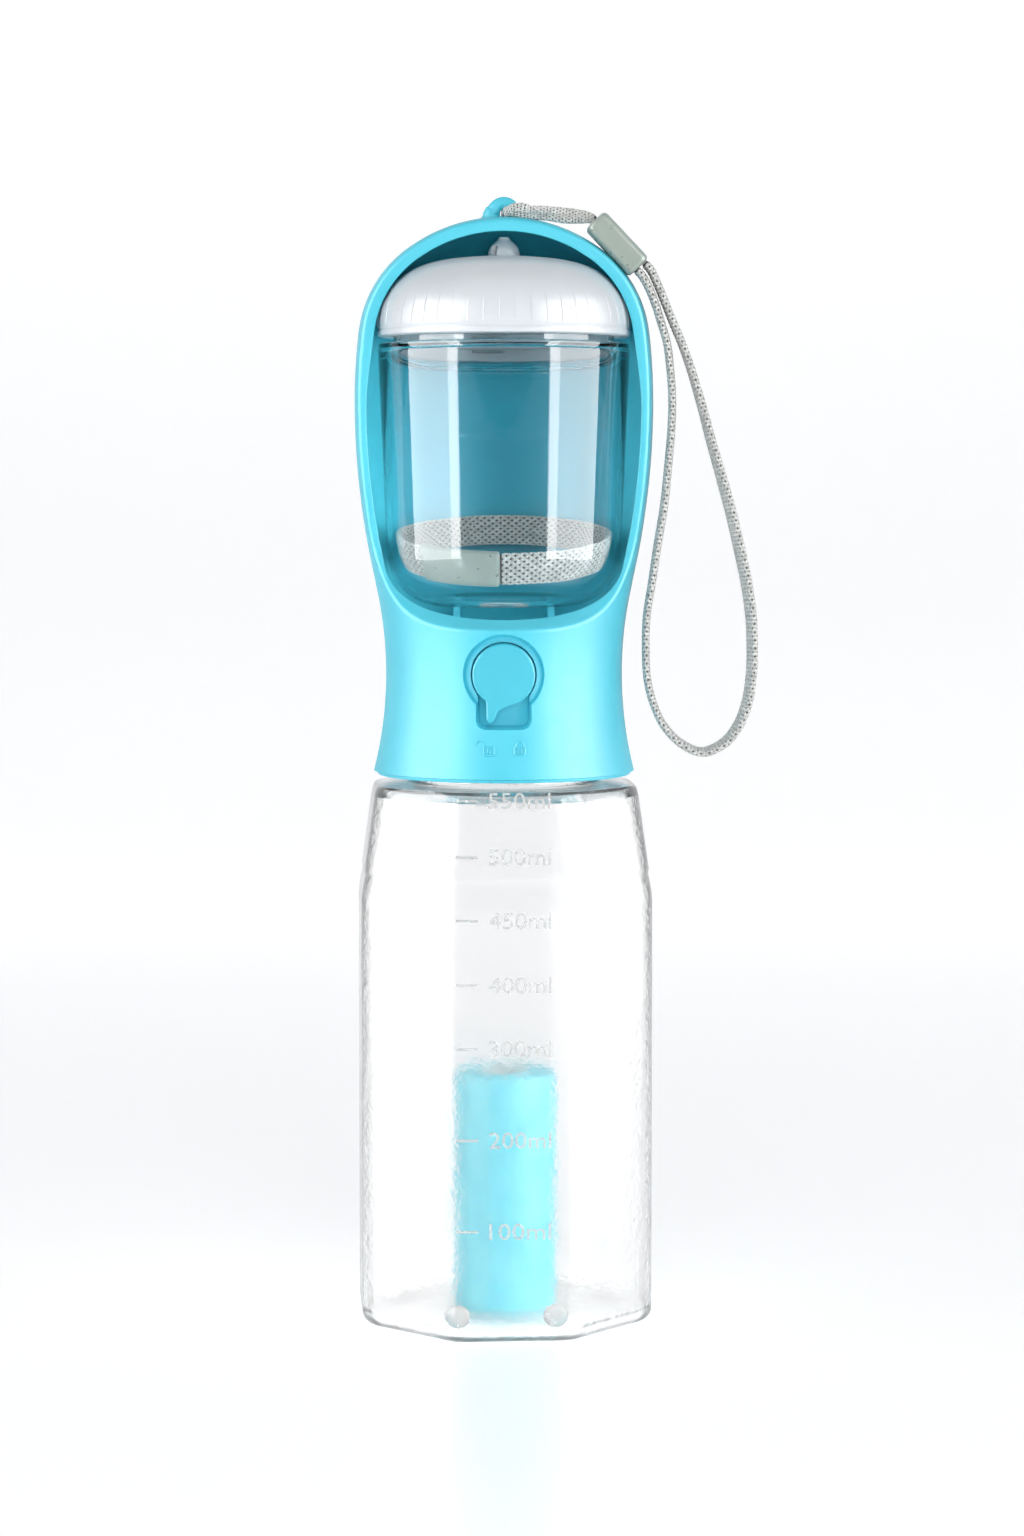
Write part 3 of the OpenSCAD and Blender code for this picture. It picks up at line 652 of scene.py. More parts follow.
# %% Spare strap
STRAP_Z = 197.3
STRAP_TIP = math.radians(10.5)
TIP = np.array([[1, 0, 0], [0, math.cos(STRAP_TIP), -math.sin(STRAP_TIP)],
                [0, math.sin(STRAP_TIP), math.cos(STRAP_TIP)]])


def strap_ring(a0, a1, step, radius):
    n = max(4, int(math.radians(a1 - a0) * radius / step))
    a = np.radians(np.linspace(a0, a1, n))
    line = np.stack([radius * np.cos(a), radius * np.sin(a), np.zeros(n)], 1)
    lean = np.stack([np.cos(a) * 2.1, np.sin(a) * 2.1, np.full(n, 8.4)], 1)
    return a, line, unit(lean)


def tipped(points):
    return points @ TIP.T + np.array((0, 0, STRAP_Z))


a, line, lean = strap_ring(-92, 222, 1.02, 26.1)
away = np.stack([np.cos(a), np.sin(a), 0 * a], 1)
line = line + away * (0.25 * np.sin(5 * a) + 0.15 * np.sin(11 * a))[:, None]
strap_path = tipped(line)
strap = tape("spare_strap_tape", strap_path, lean @ TIP.T, 8.4, 1.9)
finish_piece(strap, "container", "woven_tape", "spare_strap")
a, line, lean = strap_ring(-138, -92, 0.7, 26.1)
ring = tipped(line)
short = np.r_[np.linspace(0, 1.3, 6)[:-1], np.linspace(1.3, 19, 22), np.linspace(19, 20.2, 6)[1:]]
run = np.r_[0, np.cumsum(np.linalg.norm(np.diff(ring, axis=0), axis=1))]
short = short * run[-1] / 20.2
ring = np.stack([np.interp(short, run, ring[:, k]) for k in range(3)], 1)
lean = np.stack([np.interp(short, run, (lean @ TIP.T)[:, k]) for k in range(3)], 1)
spare_crimp = sleeve("spare_strap_sleeve", ring, lean, 9.0, 2.9, crimp_clear, 0.9)
finish_piece(spare_crimp, "container", "crimp_plastic", "spare_strap_crimp")

# %% [markdown]
# ## The head: its outline
# The head is one turned shape with a great scoop cut out of its front. Its outline, from the
# bottom: a waisted collar, a long belly, a rounded shoulder and a domed crown. Two curves are
# kept, the outside and the inside of the trough, each as radius against height.

# %% Head outline
def outer_radius(z):
    z = np.asarray(z, float)
    waist = 130.1 - np.sqrt(np.clip(1e4 - (z - 165.5) ** 2, 0, None))
    belly = -162.1 + np.sqrt(np.clip(4e4 - (z - 233.9) ** 2, 0, None))
    flank = -112.1 + np.sqrt(np.clip(22500 - (z - 233.9) ** 2, 0, None))
    shoulder = 7 + np.sqrt(np.clip(900 - (z - 248.3) ** 2, 0, None))
    crown = np.sqrt(np.clip(41.4 ** 2 - (z - 239.3) ** 2, 0, None))
    return np.select([z < 188.3, z < 233.9, z < 251.9, z < 271.98], [waist, belly, flank, shoulder], crown)


inside = arc((16.0, 194.0), 16, -90, 0, 40)
inside += [(float(outer_radius(z)) - 2.1 - 0.9 * float(smooth((z - 232) / 18)), z)
           for z in np.linspace(197.5, 251.2, 60)]
inside += arc((7, 248.3), 27, 6.9, 52.1, 40)[1:]
inside += arc((0, 239.3), 38.4, 57.0, 90, 60)[1:]
INSIDE = np.array(inside)


def inner_radius(z):
    return np.interp(z, INSIDE[:, 1], INSIDE[:, 0])


CROWN = 280.7
TROUGH_TOP = 277.7
print("widest radius:", round(float(outer_radius(233.9)), 1), "mm")

# %% [markdown]
# ## The head: its opening
# Seen from the side, the cut is an upright line that sweeps forward to the front lip. Where that
# cut meets a turned surface it makes a closed curve. The same cut, moved back by the rounding,
# gives the curve where the rounding starts, so the rim gets a real rolled edge.

# %% Opening curves
def cut_y(z, back):
    z = np.asarray(z, float)
    sweep = -33.8 + np.sqrt(np.clip((24 + back) ** 2 - (201.3 - z) ** 2, 0, None))
    return np.where(z >= 201.3, -9.8 + back, sweep)


def opening(radius, low, high, back, count=140):
    """Heights and front angles of the opening's edge on a turned surface, evenly spaced."""
    z = low + (high - low) * (1 - np.cos(np.linspace(0, math.pi, 60001))) / 2
    z = z[z > 177.3 - back + 1e-6]
    r = radius(z)
    inside_cut = -cut_y(z, back) < r
    z = z[inside_cut]
    r = r[inside_cut]
    phi = np.arccos(np.clip(-cut_y(z, back) / r, -1, 1))
    spots = np.stack([r * np.sin(phi), -r * np.cos(phi), z], 1)
    run = np.r_[0, np.cumsum(np.linalg.norm(np.diff(spots, axis=0), axis=1))]
    even = np.linspace(0, 1, count)
    even = np.r_[np.linspace(0, 0.02, 14)[:-1], np.linspace(0.02, 1, count - 13)]
    at = np.interp(even * run[-1], run, z)
    phi = np.interp(at, z, phi)
    phi[0] = 0
    phi[-1] = 0
    return at, phi


ROLL = 1.0
edge_a = opening(outer_radius, 150, CROWN, ROLL)
edge_b = opening(outer_radius, 150, CROWN, 0)
edge_c = opening(inner_radius, 178.01, TROUGH_TOP, 0)
edge_d = opening(inner_radius, 178.01, TROUGH_TOP, 0.45)
print("front lip at", round(float(edge_b[0][0]), 1), "mm, top of the rim at", round(float(edge_b[0][-1]), 1))

# %% [markdown]
# ## The head: the button's well
# Around the button the collar has a shallow round recess, a deeper round well, and a pocket below
# in which the pointer swings. They are pressed into the fine front part of the mesh: points close
# to an outline are moved onto it, and those inside it go back to the well's floor.

# %% Button well
VALVE_Z = 166.3


def pocket_distance(x, z):
    dx = np.abs(x) - (6.4 - 1.9)
    dz = np.abs(z - (153.3 + 6.2)) - (6.2 - 1.9)
    out = np.hypot(np.maximum(dx, 0), np.maximum(dz, 0))
    return out + np.minimum(np.maximum(dx, dz), 0) - 1.9


def well_distance(x, z):
    return np.minimum(np.hypot(x, z - VALVE_Z) - 8.2, pocket_distance(x, z))


def recess_distance(x, z):
    circle = np.hypot(x, z - VALVE_Z) - 10.1
    skirt = pocket_distance(x, z) - 0.55
    return np.minimum(circle, skirt)


def press_front(p, fixed):
    x, y, z = p.T.copy()
    near = (np.abs(x) < 14) & (z > 149) & (z < 178.5) & (y < 0) & ~fixed
    for shape, reach in ((well_distance, 0.17), (recess_distance, 0.17)):
        d = shape(x, z)
        gx = (shape(x + 0.02, z) - shape(x - 0.02, z)) / 0.04
        gz = (shape(x, z + 0.02) - shape(x, z - 0.02)) / 0.04
        snap = near & (np.abs(d) < reach)
        r = np.hypot(x, y)
        x = np.where(snap, x - d * gx, x)
        z = np.where(snap, z - d * gz, z)
        y = np.where(snap, -np.sqrt(np.maximum(r * r - x * x, 0)), y)
    d = recess_distance(x, z)
    deep = -np.sqrt(np.maximum(28.9 ** 2 - x * x, 0))
    y = np.where(near, y + (np.maximum(deep, y) - y) * smooth(-d / 0.7), y)
    d = well_distance(x, z)
    y = np.where(near, y + (-25.5 - y) * smooth((-d - 0.02) / 0.34), y)
    return np.stack([x, y, z], 1)


# %% [markdown]
# ## The head: its skin
# Rows of points run round the head at fixed heights. Below the lip and above the rim a row is a
# full circle; between them it stops at the opening's edge on both sides. The outside, the rolled
# rim, the trough, and the stepped underside are joined into one closed shell.

# %% Head shell
def columns(fine, coarse):
    half = np.r_[np.linspace(0, 0.42, fine), np.linspace(0.42, math.pi, coarse)[1:]]
    return np.r_[half, (2 * math.pi - half[::-1])[1:]]


OUTER = columns(44, 62)
INNER = columns(10, 50)


def ring_row(r, z, start=0.0, turns=OUTER):
    phi = start + turns * (math.pi - start) / math.pi
    return np.stack([r * np.sin(phi), -r * np.cos(phi), np.full(len(phi), z)], 1)


verts = []
outer_rows = []
inner_rows = []


def add_points(points):
    start = len(verts)
    verts.extend(np.asarray(points, float).tolist())
    return list(range(start, start + len(points)))


below = soften([(0.0, 174.6), (26.5, 174.6), (26.5, 152.7), (27.25, 152.7), (27.25, 142.6),
                (30.6, 142.6), (30.6, 139.6), (32.45, 139.6), (32.2, 141.0)],
               [0, 0.3, 0.2, 0.2, 0.2, 0.2, 0.25, 0.7, 0])
for r, z in below[:-1]:
    outer_rows.append(add_points(ring_row(r, z)))
full = np.r_[np.arange(140.6, 151.0, 0.8), np.arange(151.0, edge_a[0][0] - 0.1, 0.27)]
for z in full:
    points = ring_row(float(outer_radius(z)), z)
    points = press_front(points, np.zeros(len(points), bool))
    outer_rows.append(add_points(points))
for z, phi in zip(*edge_a):
    points = ring_row(float(outer_radius(z)), z, phi)
    fixed = np.zeros(len(points), bool)
    fixed[[0, -1]] = True
    outer_rows.append(add_points(press_front(points, fixed)))
rim_rows = outer_rows[-len(edge_a[0]):]
top = math.degrees(math.acos(8.8 / 41.4))
for r, z in arc((0, 239.3), 41.4, top + 1.5, 90, 9):
    outer_rows.append(add_points(ring_row(max(r, 0.0), z)))

for r, z in [(0.0, 177.95), (6, 177.95), (11, 177.95), (15.0, 177.95), (16.0, 178.0)]:
    inner_rows.append(add_points(ring_row(r, z, 0, INNER)))
for z in np.linspace(178.1, edge_d[0][0] - 0.03, 7):
    inner_rows.append(add_points(ring_row(float(inner_radius(z)), z, 0, INNER)))
for z, phi in zip(*edge_d):
    inner_rows.append(add_points(ring_row(float(inner_radius(z)), z, phi, INNER)))
lip_rows = inner_rows[-len(edge_d[0]):]
top = math.degrees(math.acos(min(0.999, float(inner_radius(edge_d[0][-1])) / 38.4)))
for r, z in arc((0, 239.3), 38.4, top + 1.2, 90, 9):
    inner_rows.append(add_points(ring_row(max(r, 0.0), z, 0, INNER)))

faces = grid_faces(outer_rows) + grid_faces(inner_rows)


def on_edge(edge, radius, side):
    r = radius(edge[0])
    return np.stack([side * r * np.sin(edge[1]), -r * np.cos(edge[1]), edge[0]], 1)


for side, end in ((1, 0), (-1, -1)):
    a = np.array([verts[row[end]] for row in rim_rows])
    b = on_edge(edge_b, outer_radius, side)
    c = on_edge(edge_c, inner_radius, side)
    d = np.array([verts[row[end]] for row in lip_rows])
    wide = np.linalg.norm(c - b, axis=1, keepdims=True)
    b2 = b + (c - b) * np.minimum(0.42, ROLL / wide)
    c1 = c + (b - c) * np.minimum(0.2, 0.45 / wide)
    strips = [[row[end] for row in rim_rows]]
    for t in (0.2, 0.4, 0.6, 0.8, 1.0):
        strips.append(add_points((1 - t) ** 2 * a + 2 * t * (1 - t) * b + t * t * b2))
    for t in (0.33, 0.67, 1.0):
        strips.append(add_points(b2 + (c1 - b2) * t))
    for t in (0.33, 0.67):
        strips.append(add_points((1 - t) ** 2 * c1 + 2 * t * (1 - t) * c + t * t * d))
    strips.append([row[end] for row in lip_rows])
    faces += grid_faces(strips)

skin = np.array(verts)
skin[:, 1] = np.where((skin[:, 2] > 182.5), np.minimum(skin[:, 1], 37.0), skin[:, 1])
head = make_object("trough_head", skin, faces, [blue_satin], sharp=55)
print("head skin:", len(head.data.vertices), "points")

# %% [markdown]
# ## The head: lug, detent and padlocks
# The lug for the lanyard is a thick little arch whose feet flow into the crown. Two padlocks, one
# open and one shut, are raised lines that show which way the pointer locks the button. Each is a
# thin tube bent along a drawn line and half sunk into the collar.

# %% Tubes along a line
def tube(path, radii, sides=12):
    path = np.asarray(path, float)
    radii = np.broadcast_to(radii, len(path))
    ahead = unit(np.gradient(path, axis=0))
    side = np.cross(ahead[0], (0.31, 0.9, 0.17))
    verts = []
    rows = []
    for p, t, r in zip(path, ahead, radii):
        side = side - t * np.dot(side, t)
        side = side / np.linalg.norm(side)
        up = np.cross(t, side)
        rows.append(list(range(len(verts), len(verts) + sides)))
        for k in range(sides):
            a = 2 * math.pi * k / sides
            verts.append(p + r * (math.cos(a) * side + math.sin(a) * up))
    faces = grid_faces(rows, wrap=True) + [rows[0][::-1], rows[-1]]
    return verts, faces


def merge_parts(parts):
    verts = []
    faces = []
    for v, f in parts:
        start = len(verts)
        verts += [tuple(p) for p in v]
        faces += [[i + start for i in face] for face in f]
    return verts, faces


def on_collar(x, z, proud=0.0):
    r = float(outer_radius(z)) + proud
    return (x, -math.sqrt(r * r - x * x), z)


lug_line = [(-3.35, 0, 279.4), (-3.2, 0, 280.6), (-3.1, 0, 281.8)]
lug_line += [(2.75 * math.cos(a), 0, 281.4 + 2.75 * math.sin(a))
             for a in np.linspace(math.pi * 0.93, math.pi * 0.07, 15)]
lug_line += [(3.1, 0, 281.6), (3.2, 0, 280.6), (3.35, 0, 279.4)]
lug_path = resample(lug_line, 0.35)
feet = smooth(1 - (lug_path[:, 2] - 279.4) / 3.0)
LUG_RADIUS = 1.6
left_leg = 0.3 * (lug_path[:, 0] < 0) * smooth((284 - lug_path[:, 2]) / 3)
lug = tube(lug_path, LUG_RADIUS + left_leg + 0.8 * feet, 20)

MARK_RADIUS = 0.22
MARK_PROUD = 0.10
marks = []
for x0, opened in ((-3.55, True), (3.95, False)):
    w = 1.35
    body_box = [(x0 - w, 146.55), (x0 + w, 146.55), (x0 + w, 148.55), (x0 - w, 148.55), (x0 - w, 146.55)]
    body_line = soften(body_box, [0, 0.3, 0.3, 0.3, 0], 3)
    middle = x0 - 2 * w + 0.2 if opened else x0
    shackle = [(middle + 1.0 * math.cos(a), 148.9 + 1.05 * math.sin(a)) for a in np.linspace(0, math.pi, 13)]
    shackle = [(middle + 1.0, 148.4)] + shackle + [(middle - 1.0, 148.75 if opened else 148.4)]
    slots = [[(x0 + slot, 147.0), (x0 + slot, 148.1)] for slot in (-0.32, 0.32)]
    for line in [body_line, shackle] + slots:
        marks.append(tube([on_collar(x, z, MARK_PROUD) for x, z in line], MARK_RADIUS, 8))
wedge = [(0.5, -25.7, 156.2), (2.3, -25.7, 153.5), (0.9, -25.7, 153.5), (1.15, -26.6, 153.9),
         (0.55, -26.0, 155.6)]
wedge_faces = [[0, 1, 2], [0, 4, 1], [1, 4, 3], [2, 1, 3], [0, 2, 3], [0, 3, 4]]
stem_boss = [(3.5, -25.4), (3.5, -23.4), (11.0, -23.4), (11.0, -25.4)]
boss_verts, boss_faces = lathe(stem_boss, 48, closed=True)
boss_verts = [(x, z, VALVE_Z + y) for x, y, z in boss_verts]
rails = []
for side in (-1, 1):
    x = side * 12
    box = [(x - 1, -4, 177.5), (x + 1, -4, 177.5), (x + 1, 20, 177.5), (x - 1, 20, 177.5),
           (x - 0.8, -3.4, 182.1), (x + 0.8, -3.4, 182.1), (x + 0.8, 19.8, 182.1), (x - 0.8, 19.8, 182.1)]
    rails.append((box, [[0, 3, 2, 1], [4, 5, 6, 7], [0, 1, 5, 4], [1, 2, 6, 5], [2, 3, 7, 6], [3, 0, 4, 7]]))
parts = [lug, (wedge, wedge_faces), (boss_verts, boss_faces)] + marks + rails
details = make_object("head_details", *merge_parts(parts), [blue_satin], sharp=40)
head = joined("trough_head", [head, details])
finish_piece(head, "head", "blue_plastic", "head_shell")

# %% [markdown]
# ## The button
# The button is a flat disc with a pointer growing out of it, a narrow bevel all round and a very
# slight dish. Its outline is star-shaped about its axis, so rings of points scaled about the axis
# can build the whole of it.

# %% Button outline
BUTTON_RADIUS = 7.8


def pointer_reach(theta):
    """Distance from the axis to the outline, in the direction theta, for the disc and pointer."""
    direction = np.array((math.cos(theta), math.sin(theta)))
    best = BUTTON_RADIUS
    tip = np.array((-3.2, -10.75))
    corners = np.array([(-4.37, -5.4), (-4.37, -10.75), (-2.25, -11.42), (0.75, -7.95), (2.6, -7.1)])
    for t in np.linspace(0, 13, 521):
        q = direction * t
        within = np.linalg.norm(q - tip) < 1.17
        if not within:
            turn = [np.cross(corners[(i + 1) % 5] - corners[i], q - corners[i]) for i in range(5)]
            within = all(v >= -1e-9 for v in turn)
        if within and t > best:
            best = t
    return best


POINTER_SIDE = -math.pi * 0.22
angles = np.r_[np.linspace(-math.pi, POINTER_SIDE, 150)[:-1], np.linspace(POINTER_SIDE, math.pi, 130)[:-1]]
reach = np.array([pointer_reach(a) for a in angles])
for _ in range(5):
    reach = np.where(reach > 7.81, reach, 7.8) * 0.5 + 0.25 * (np.roll(reach, 1) + np.roll(reach, -1))
rim = np.stack([reach * np.cos(angles), reach * np.sin(angles)], 1)
along_rim = unit(np.roll(rim, -1, axis=0) - np.roll(rim, 1, axis=0))
inward = np.stack([-along_rim[:, 1], along_rim[:, 0]], 1)
verts = []
rows = []
steps = [(0.0, -28.4, "axis"), (0.0, -28.4, "edge"), (0.0, -30.35, "edge"), (0.05, -30.62, "edge"),
         (0.2, -30.86, "edge"), (0.42, -30.97, "edge"), (0.62, -30.97, "edge"), (0.8, -30.93, "edge"),
         (0.86, -30.88, "scale"), (0.6, -30.84, "scale"), (0.3, -30.8, "scale"), (0.0, -30.78, "axis")]
for push, y, kind in steps:
    ring = rim + inward * push if kind == "edge" else (rim + inward * 0.8) * push
    if kind == "axis":
        rows.append([len(verts)] * len(rim))
        verts.append((0, y, VALVE_Z))
    else:
        rows.append(list(range(len(verts), len(verts) + len(rim))))
        verts += [(p[0], y, VALVE_Z + p[1]) for p in ring]
button = make_object("press_button", verts, grid_faces(rows, wrap=True), [button_blue], sharp=60)
finish_piece(button, "button", "button_plastic", "button_cap")

# %% [markdown]
# ## The bottle
# Its section is an eight-sided shape with well-rounded corners. The same polar outline is used at
# every height, with its width following the base, the straight wall and the tapered shoulder.
# The wall has a real thickness, which is what gives clear plastic its dark and bright edges.

# %% Bottle walls
def eight_sided(flat, corner, count=40):
    """Distance to the outline in each of eight times count directions, first one along +X."""
    bend = math.radians(22.5)
    rc = (flat / math.cos(bend) - corner) / (1 / math.cos(bend) - 1)
    centre = (flat - rc) / math.cos(bend)
    delta = np.linspace(-bend, bend, count + 1)[:-1]
    line = flat / np.cos(delta)
    off = bend - np.abs(delta)
    round_off = centre * np.cos(off) + np.sqrt(np.maximum(rc ** 2 - (centre * np.sin(off)) ** 2, 0))
    flat_until = math.atan2(centre * math.sin(bend), flat)
    return np.tile(np.where(np.abs(delta) <= flat_until, line, round_off), 8)


BOTTLE_TURN = math.radians(4.0)
SECTOR = np.radians(np.linspace(-22.5, 22.5, 41)[:-1])
DIRECTIONS = BOTTLE_TURN + np.concatenate([math.radians(45 * k) + SECTOR for k in range(8)])


def bottle_row(z, inset, tuck=0.0):
    t = smooth((z - 106) / 10) * (z - 110 + 4) / 31.6 if z > 106 else 0.0
    t = float(np.clip(t if z < 116 else (z - 110) / 27.6, 0, 1))
    r = eight_sided(37 - 3.75 * t, 39.3 - 4.4 * t) - inset - tuck
    return np.stack([r * np.cos(DIRECTIONS), r * np.sin(DIRECTIONS), np.full(len(r), z)], 1)


def round_row(z, r):
    return np.stack([r * np.cos(DIRECTIONS), r * np.sin(DIRECTIONS), np.full(len(DIRECTIONS), z)], 1)


def blend_row(z, r, share, inset):
    return bottle_row(z, inset) * (1 - share) + round_row(z, r) * share


WALL = 1.2
HEEL = 3.4
verts = []
rows = []
outside = [round_row(1.0, 12), round_row(0.95, 20), round_row(0.8, 25), round_row(0.3, 28),
           round_row(0.02, 30.2)]
outside += [bottle_row(0.0, 0, 4.2)]
outside += [bottle_row(HEEL - HEEL * math.cos(a), 0, HEEL - HEEL * math.sin(a))
            for a in np.linspace(0.12, math.pi / 2, 9)]
up_outside = np.r_[np.linspace(8, 104, 25), np.linspace(106, 117, 12), np.linspace(120, 135, 7)]
outside += [bottle_row(z, 0) for z in up_outside]
outside += [bottle_row(136.6, 0, 0.25), blend_row(137.3, 31.5, 0.25, 0), blend_row(137.6, 28, 0.8, 0)]
outside += [round_row(137.7, 25.2), round_row(138.0, 24.0), round_row(138.6, 23.4), round_row(148.4, 23.4),
            round_row(148.9, 23.1), round_row(149, 22.8)]
inner = [round_row(2.4, 14), round_row(2.2, 24), bottle_row(1.62, WALL, 4.6)]
inner += [bottle_row(5.0 - HEEL * math.cos(a), WALL, HEEL - HEEL * math.sin(a))
          for a in np.linspace(0.12, math.pi / 2, 8)]
up_inside = np.r_[np.linspace(9, 104, 25), np.linspace(106, 117, 12), np.linspace(120, 134.5, 7)]
inner += [bottle_row(z, WALL) for z in up_inside]
inner += [blend_row(136.0, 29, 0.3, WALL), blend_row(136.3, 25, 0.85, WALL), round_row(136.6, 22.4),
          round_row(137.2, 21.7), round_row(138, 21.6), round_row(148.6, 21.6),
          round_row(148.95, 21.9), round_row(149, 22.3)]
rows.append([0] * len(DIRECTIONS))
verts.append((0, 0, 1.0))
for points in outside + inner[::-1]:
    rows.append(list(range(len(verts), len(verts) + len(points))))
    verts += points.tolist()
rows.append([len(verts)] * len(DIRECTIONS))
verts.append((0, 0, 2.4))
walls = (verts, grid_faces(rows, wrap=True))


THREAD_RADIUS = 23.35
THREAD_FOOT = 143.6
THREAD_LEAD = 8.0


def thread_ridge(start):
    """Half a turn of thread, which fades in and out at its ends."""
    path = []
    height = []
    for i in range(61):
        a = start + math.pi * i / 60
        climb = THREAD_LEAD / 2 * i / 60
        path.append((THREAD_RADIUS * math.cos(a), THREAD_RADIUS * math.sin(a), THREAD_FOOT + climb))
        height.append(0.25 + 0.95 * min(1, i / 6, (60 - i) / 6))
    return tube(path, height, 10)


shell = merge_parts([walls, thread_ridge(0), thread_ridge(math.pi)])
bottle = make_object("clear_bottle", *shell, [bottle_clear])

# %% [markdown]
# ## The scale on the bottle
# The scale is moulded into the front wall: a short dash and a plain number for each mark. The
# letters are a font curve turned into a mesh first, and only then moved to their place.

# %% Scale marks
def letters(text, height, depth):
    curve = bpy.data.curves.new("mark", "FONT")
    curve.body = text
    curve.size = 1.0
    curve.extrude = 0.5
    curve.resolution_u = 3
    obj = bpy.data.objects.new("mark", curve)
    bpy.context.scene.collection.objects.link(obj)
    graph = bpy.context.evaluated_depsgraph_get()
    mesh = bpy.data.meshes.new_from_object(obj.evaluated_get(graph))
    pts = np.array([v.co[:] for v in mesh.vertices])
    faces = [list(p.vertices) for p in mesh.polygons]
    bpy.data.objects.remove(obj)
    tall = pts[:, 1].max() - pts[:, 1].min()
    pts[:, :2] = (pts[:, :2] - pts[:, :2].min(0)) * height / tall
    pts[:, 2] = pts[:, 2] * depth
    return pts, faces


def on_front(u, z, proud):
    """A point on the bottle's front facet, u along it from its middle and proud of it."""
    d = float(np.interp(z, [0, 108, 137.6], [37.0, 37.0, 33.3])) + proud
    over = max(abs(u) - 11.5, 0)
    d -= 9.1 - math.sqrt(9.1 ** 2 - over ** 2)
    c = math.cos(BOTTLE_TURN)
    t = math.sin(BOTTLE_TURN)
    return (u * c + d * t, u * t - d * c, z)


MARKS = [(28.4, "100ml"), (51.3, "200ml"), (74.1, "300ml"), (90.0, "400ml"), (106.0, "450ml"),
         (121.6, "500ml"), (135.4, "550ml")]
LETTER_HEIGHT = 4.0
LABEL_WIDTH = 15.4
parts = []
for z, text in MARKS:
    pts, faces = letters(text, LETTER_HEIGHT, 0.7)
    wide = pts[:, 0].max()
    foot = z - LETTER_HEIGHT / 2
    parts.append(([on_front(-6.2 + p[0] * LABEL_WIDTH / wide, foot + p[1], p[2]) for p in pts], faces))
    parts.append(tube([on_front(u, z, 0.0) for u in np.linspace(-14.4, -8.9, 8)], 0.33, 8))
scale = make_object("bottle_scale", *merge_parts(parts), [scale_clear], sharp=30)
# Two lens-shaped bumps stand at the lower front corners as real shapes. They take the scale's milky,
# half-clear finish, so they show as pale spots: a painted highlight for the bright refractions there.
half_circle = [(math.sin(a), -math.cos(a)) for a in np.linspace(0, math.pi, 15)[1:-1]]
ball, ball_faces = lathe([(0, -1)] + half_circle + [(0, 1)], 32)
lenses = []
for u in (-14.0, 10.4):
    lens = [on_front(u + 3.1 * x, 7.0 + 2.9 * z, -0.5 + 0.75 * y) for x, y, z in ball]
    lenses.append((lens, ball_faces))
highlight_bosses = make_object("painted_highlight_bosses", *merge_parts(lenses), [scale_clear], sharp=80)
bottle = joined("clear_bottle", [bottle, scale, highlight_bosses])
finish_piece(bottle, "bottle", "clear_bottle", "bottle")

# %% [markdown]
# ## The roll of waste bags
# The bags are wound on a card core. The outside is one long spiral, so there is a step where the
# last bag ends, and both end faces show the edges of the layers.

# %% Bag roll
ROLL_FOOT = 1.95
ROLL_TOP = 62.8
ends = [(r, ROLL_FOOT + 0.22 * (0.5 + 0.5 * math.sin(r * 9.0))) for r in np.linspace(6.6, 12.3, 20)]
side_wall = [(13.25, z) for z in np.linspace(3.0, 61.8, 14)]
profile = ends + [(12.9, 2.05), (13.2, 2.4)] + side_wall + [(13.2, 62.4), (12.9, 62.75)]
profile += [(r, ROLL_TOP - (z - ROLL_FOOT)) for r, z in ends[::-1]]
verts, faces = lathe(profile, 144, closed=True)
verts = np.array(verts)
around = (np.arctan2(verts[:, 1], verts[:, 0]) + math.pi * 0.62) % (2 * math.pi) / (2 * math.pi)
radius = np.hypot(verts[:, 0], verts[:, 1])
crease = 0.12 * np.sin(verts[:, 2] * 0.55 + around * 9) + 0.08 * np.sin(verts[:, 2] * 1.7 - around * 23)
pull = 1 - np.where(radius > 12.5, 0.30 * around + 0.5 * np.abs(crease), 0) / np.maximum(radius, 1)
verts[:, :2] *= pull[:, None]
roll = make_object("waste_bag_roll", verts, faces, [pale_film], sharp=40)
finish_piece(roll, "bag_roll", "bag_film", "bag_roll")

# %% [markdown]
# ## The snack cup
# The cup is thin and glass clear, with a deeply rounded bottom, a small standing foot and a narrow
# flange that carries the lid. It is one closed profile turned about the axis, with every corner
# softened, because sharp corners in clear plastic look like cuts.

# %% Cup
out_line = [(0.001, 182.7), (9.7, 182.7), (10.0, 182.4), (15.8, 182.4)]
out_line += arc((15.8, 196.4), 14, -90, -3, 22)[1:]
out_line += [(31.92, 246.3), (32.0, 246.9), (31.75, 247.3), (31.75, 248.5), (31.4, 248.75), (28.3, 248.75),
             (28.0, 249.0), (28.0, 255.7), (27.7, 256.0)]
in_line = [(0.001, 183.75), (15.8, 183.7)]
in_line += arc((15.8, 196.4), 12.7, -90, -3, 22)[1:]
in_line += [(30.7, 246.8), (30.55, 247.35), (30.1, 247.6), (27.2, 247.75), (26.8, 248.0), (26.7, 248.6),
            (26.7, 255.7), (27.0, 256.0)]
profile = soften(out_line, [0, 0.2, 0.2] + [0] * (len(out_line) - 3)) + in_line[::-1]
cup_parts = [lathe(profile, 180)]
for k in range(4):
    turns = np.radians(np.linspace(90 * k, 90 * k + 18, 12))
    lugs = [(28.1 * math.cos(a), 28.1 * math.sin(a), 253.1) for a in turns]
    cup_parts.append(tube(lugs, np.r_[0.2, np.full(10, 0.42), 0.2], 8))
cup = make_object("snack_cup", *merge_parts(cup_parts), [cup_clear])
finish_piece(cup, "container", "clear_cup", "container_cup")

# %% [markdown]
# ## The lid
# The lid is a shallow dome with a rounded shoulder. Fine upright ribs help the fingers turn it;
# Geometry Nodes repeats one rib round the skirt. On top stands a small bell-shaped knob with a
# doorway cut into its foot, which vents the cup.

# %% Lid dome
LID_FOOT = 250.5
LID_RISE = 20.3


def ring_profile(points):
    return [(max(r, 0.001), z + LID_FOOT) for r, z in points]


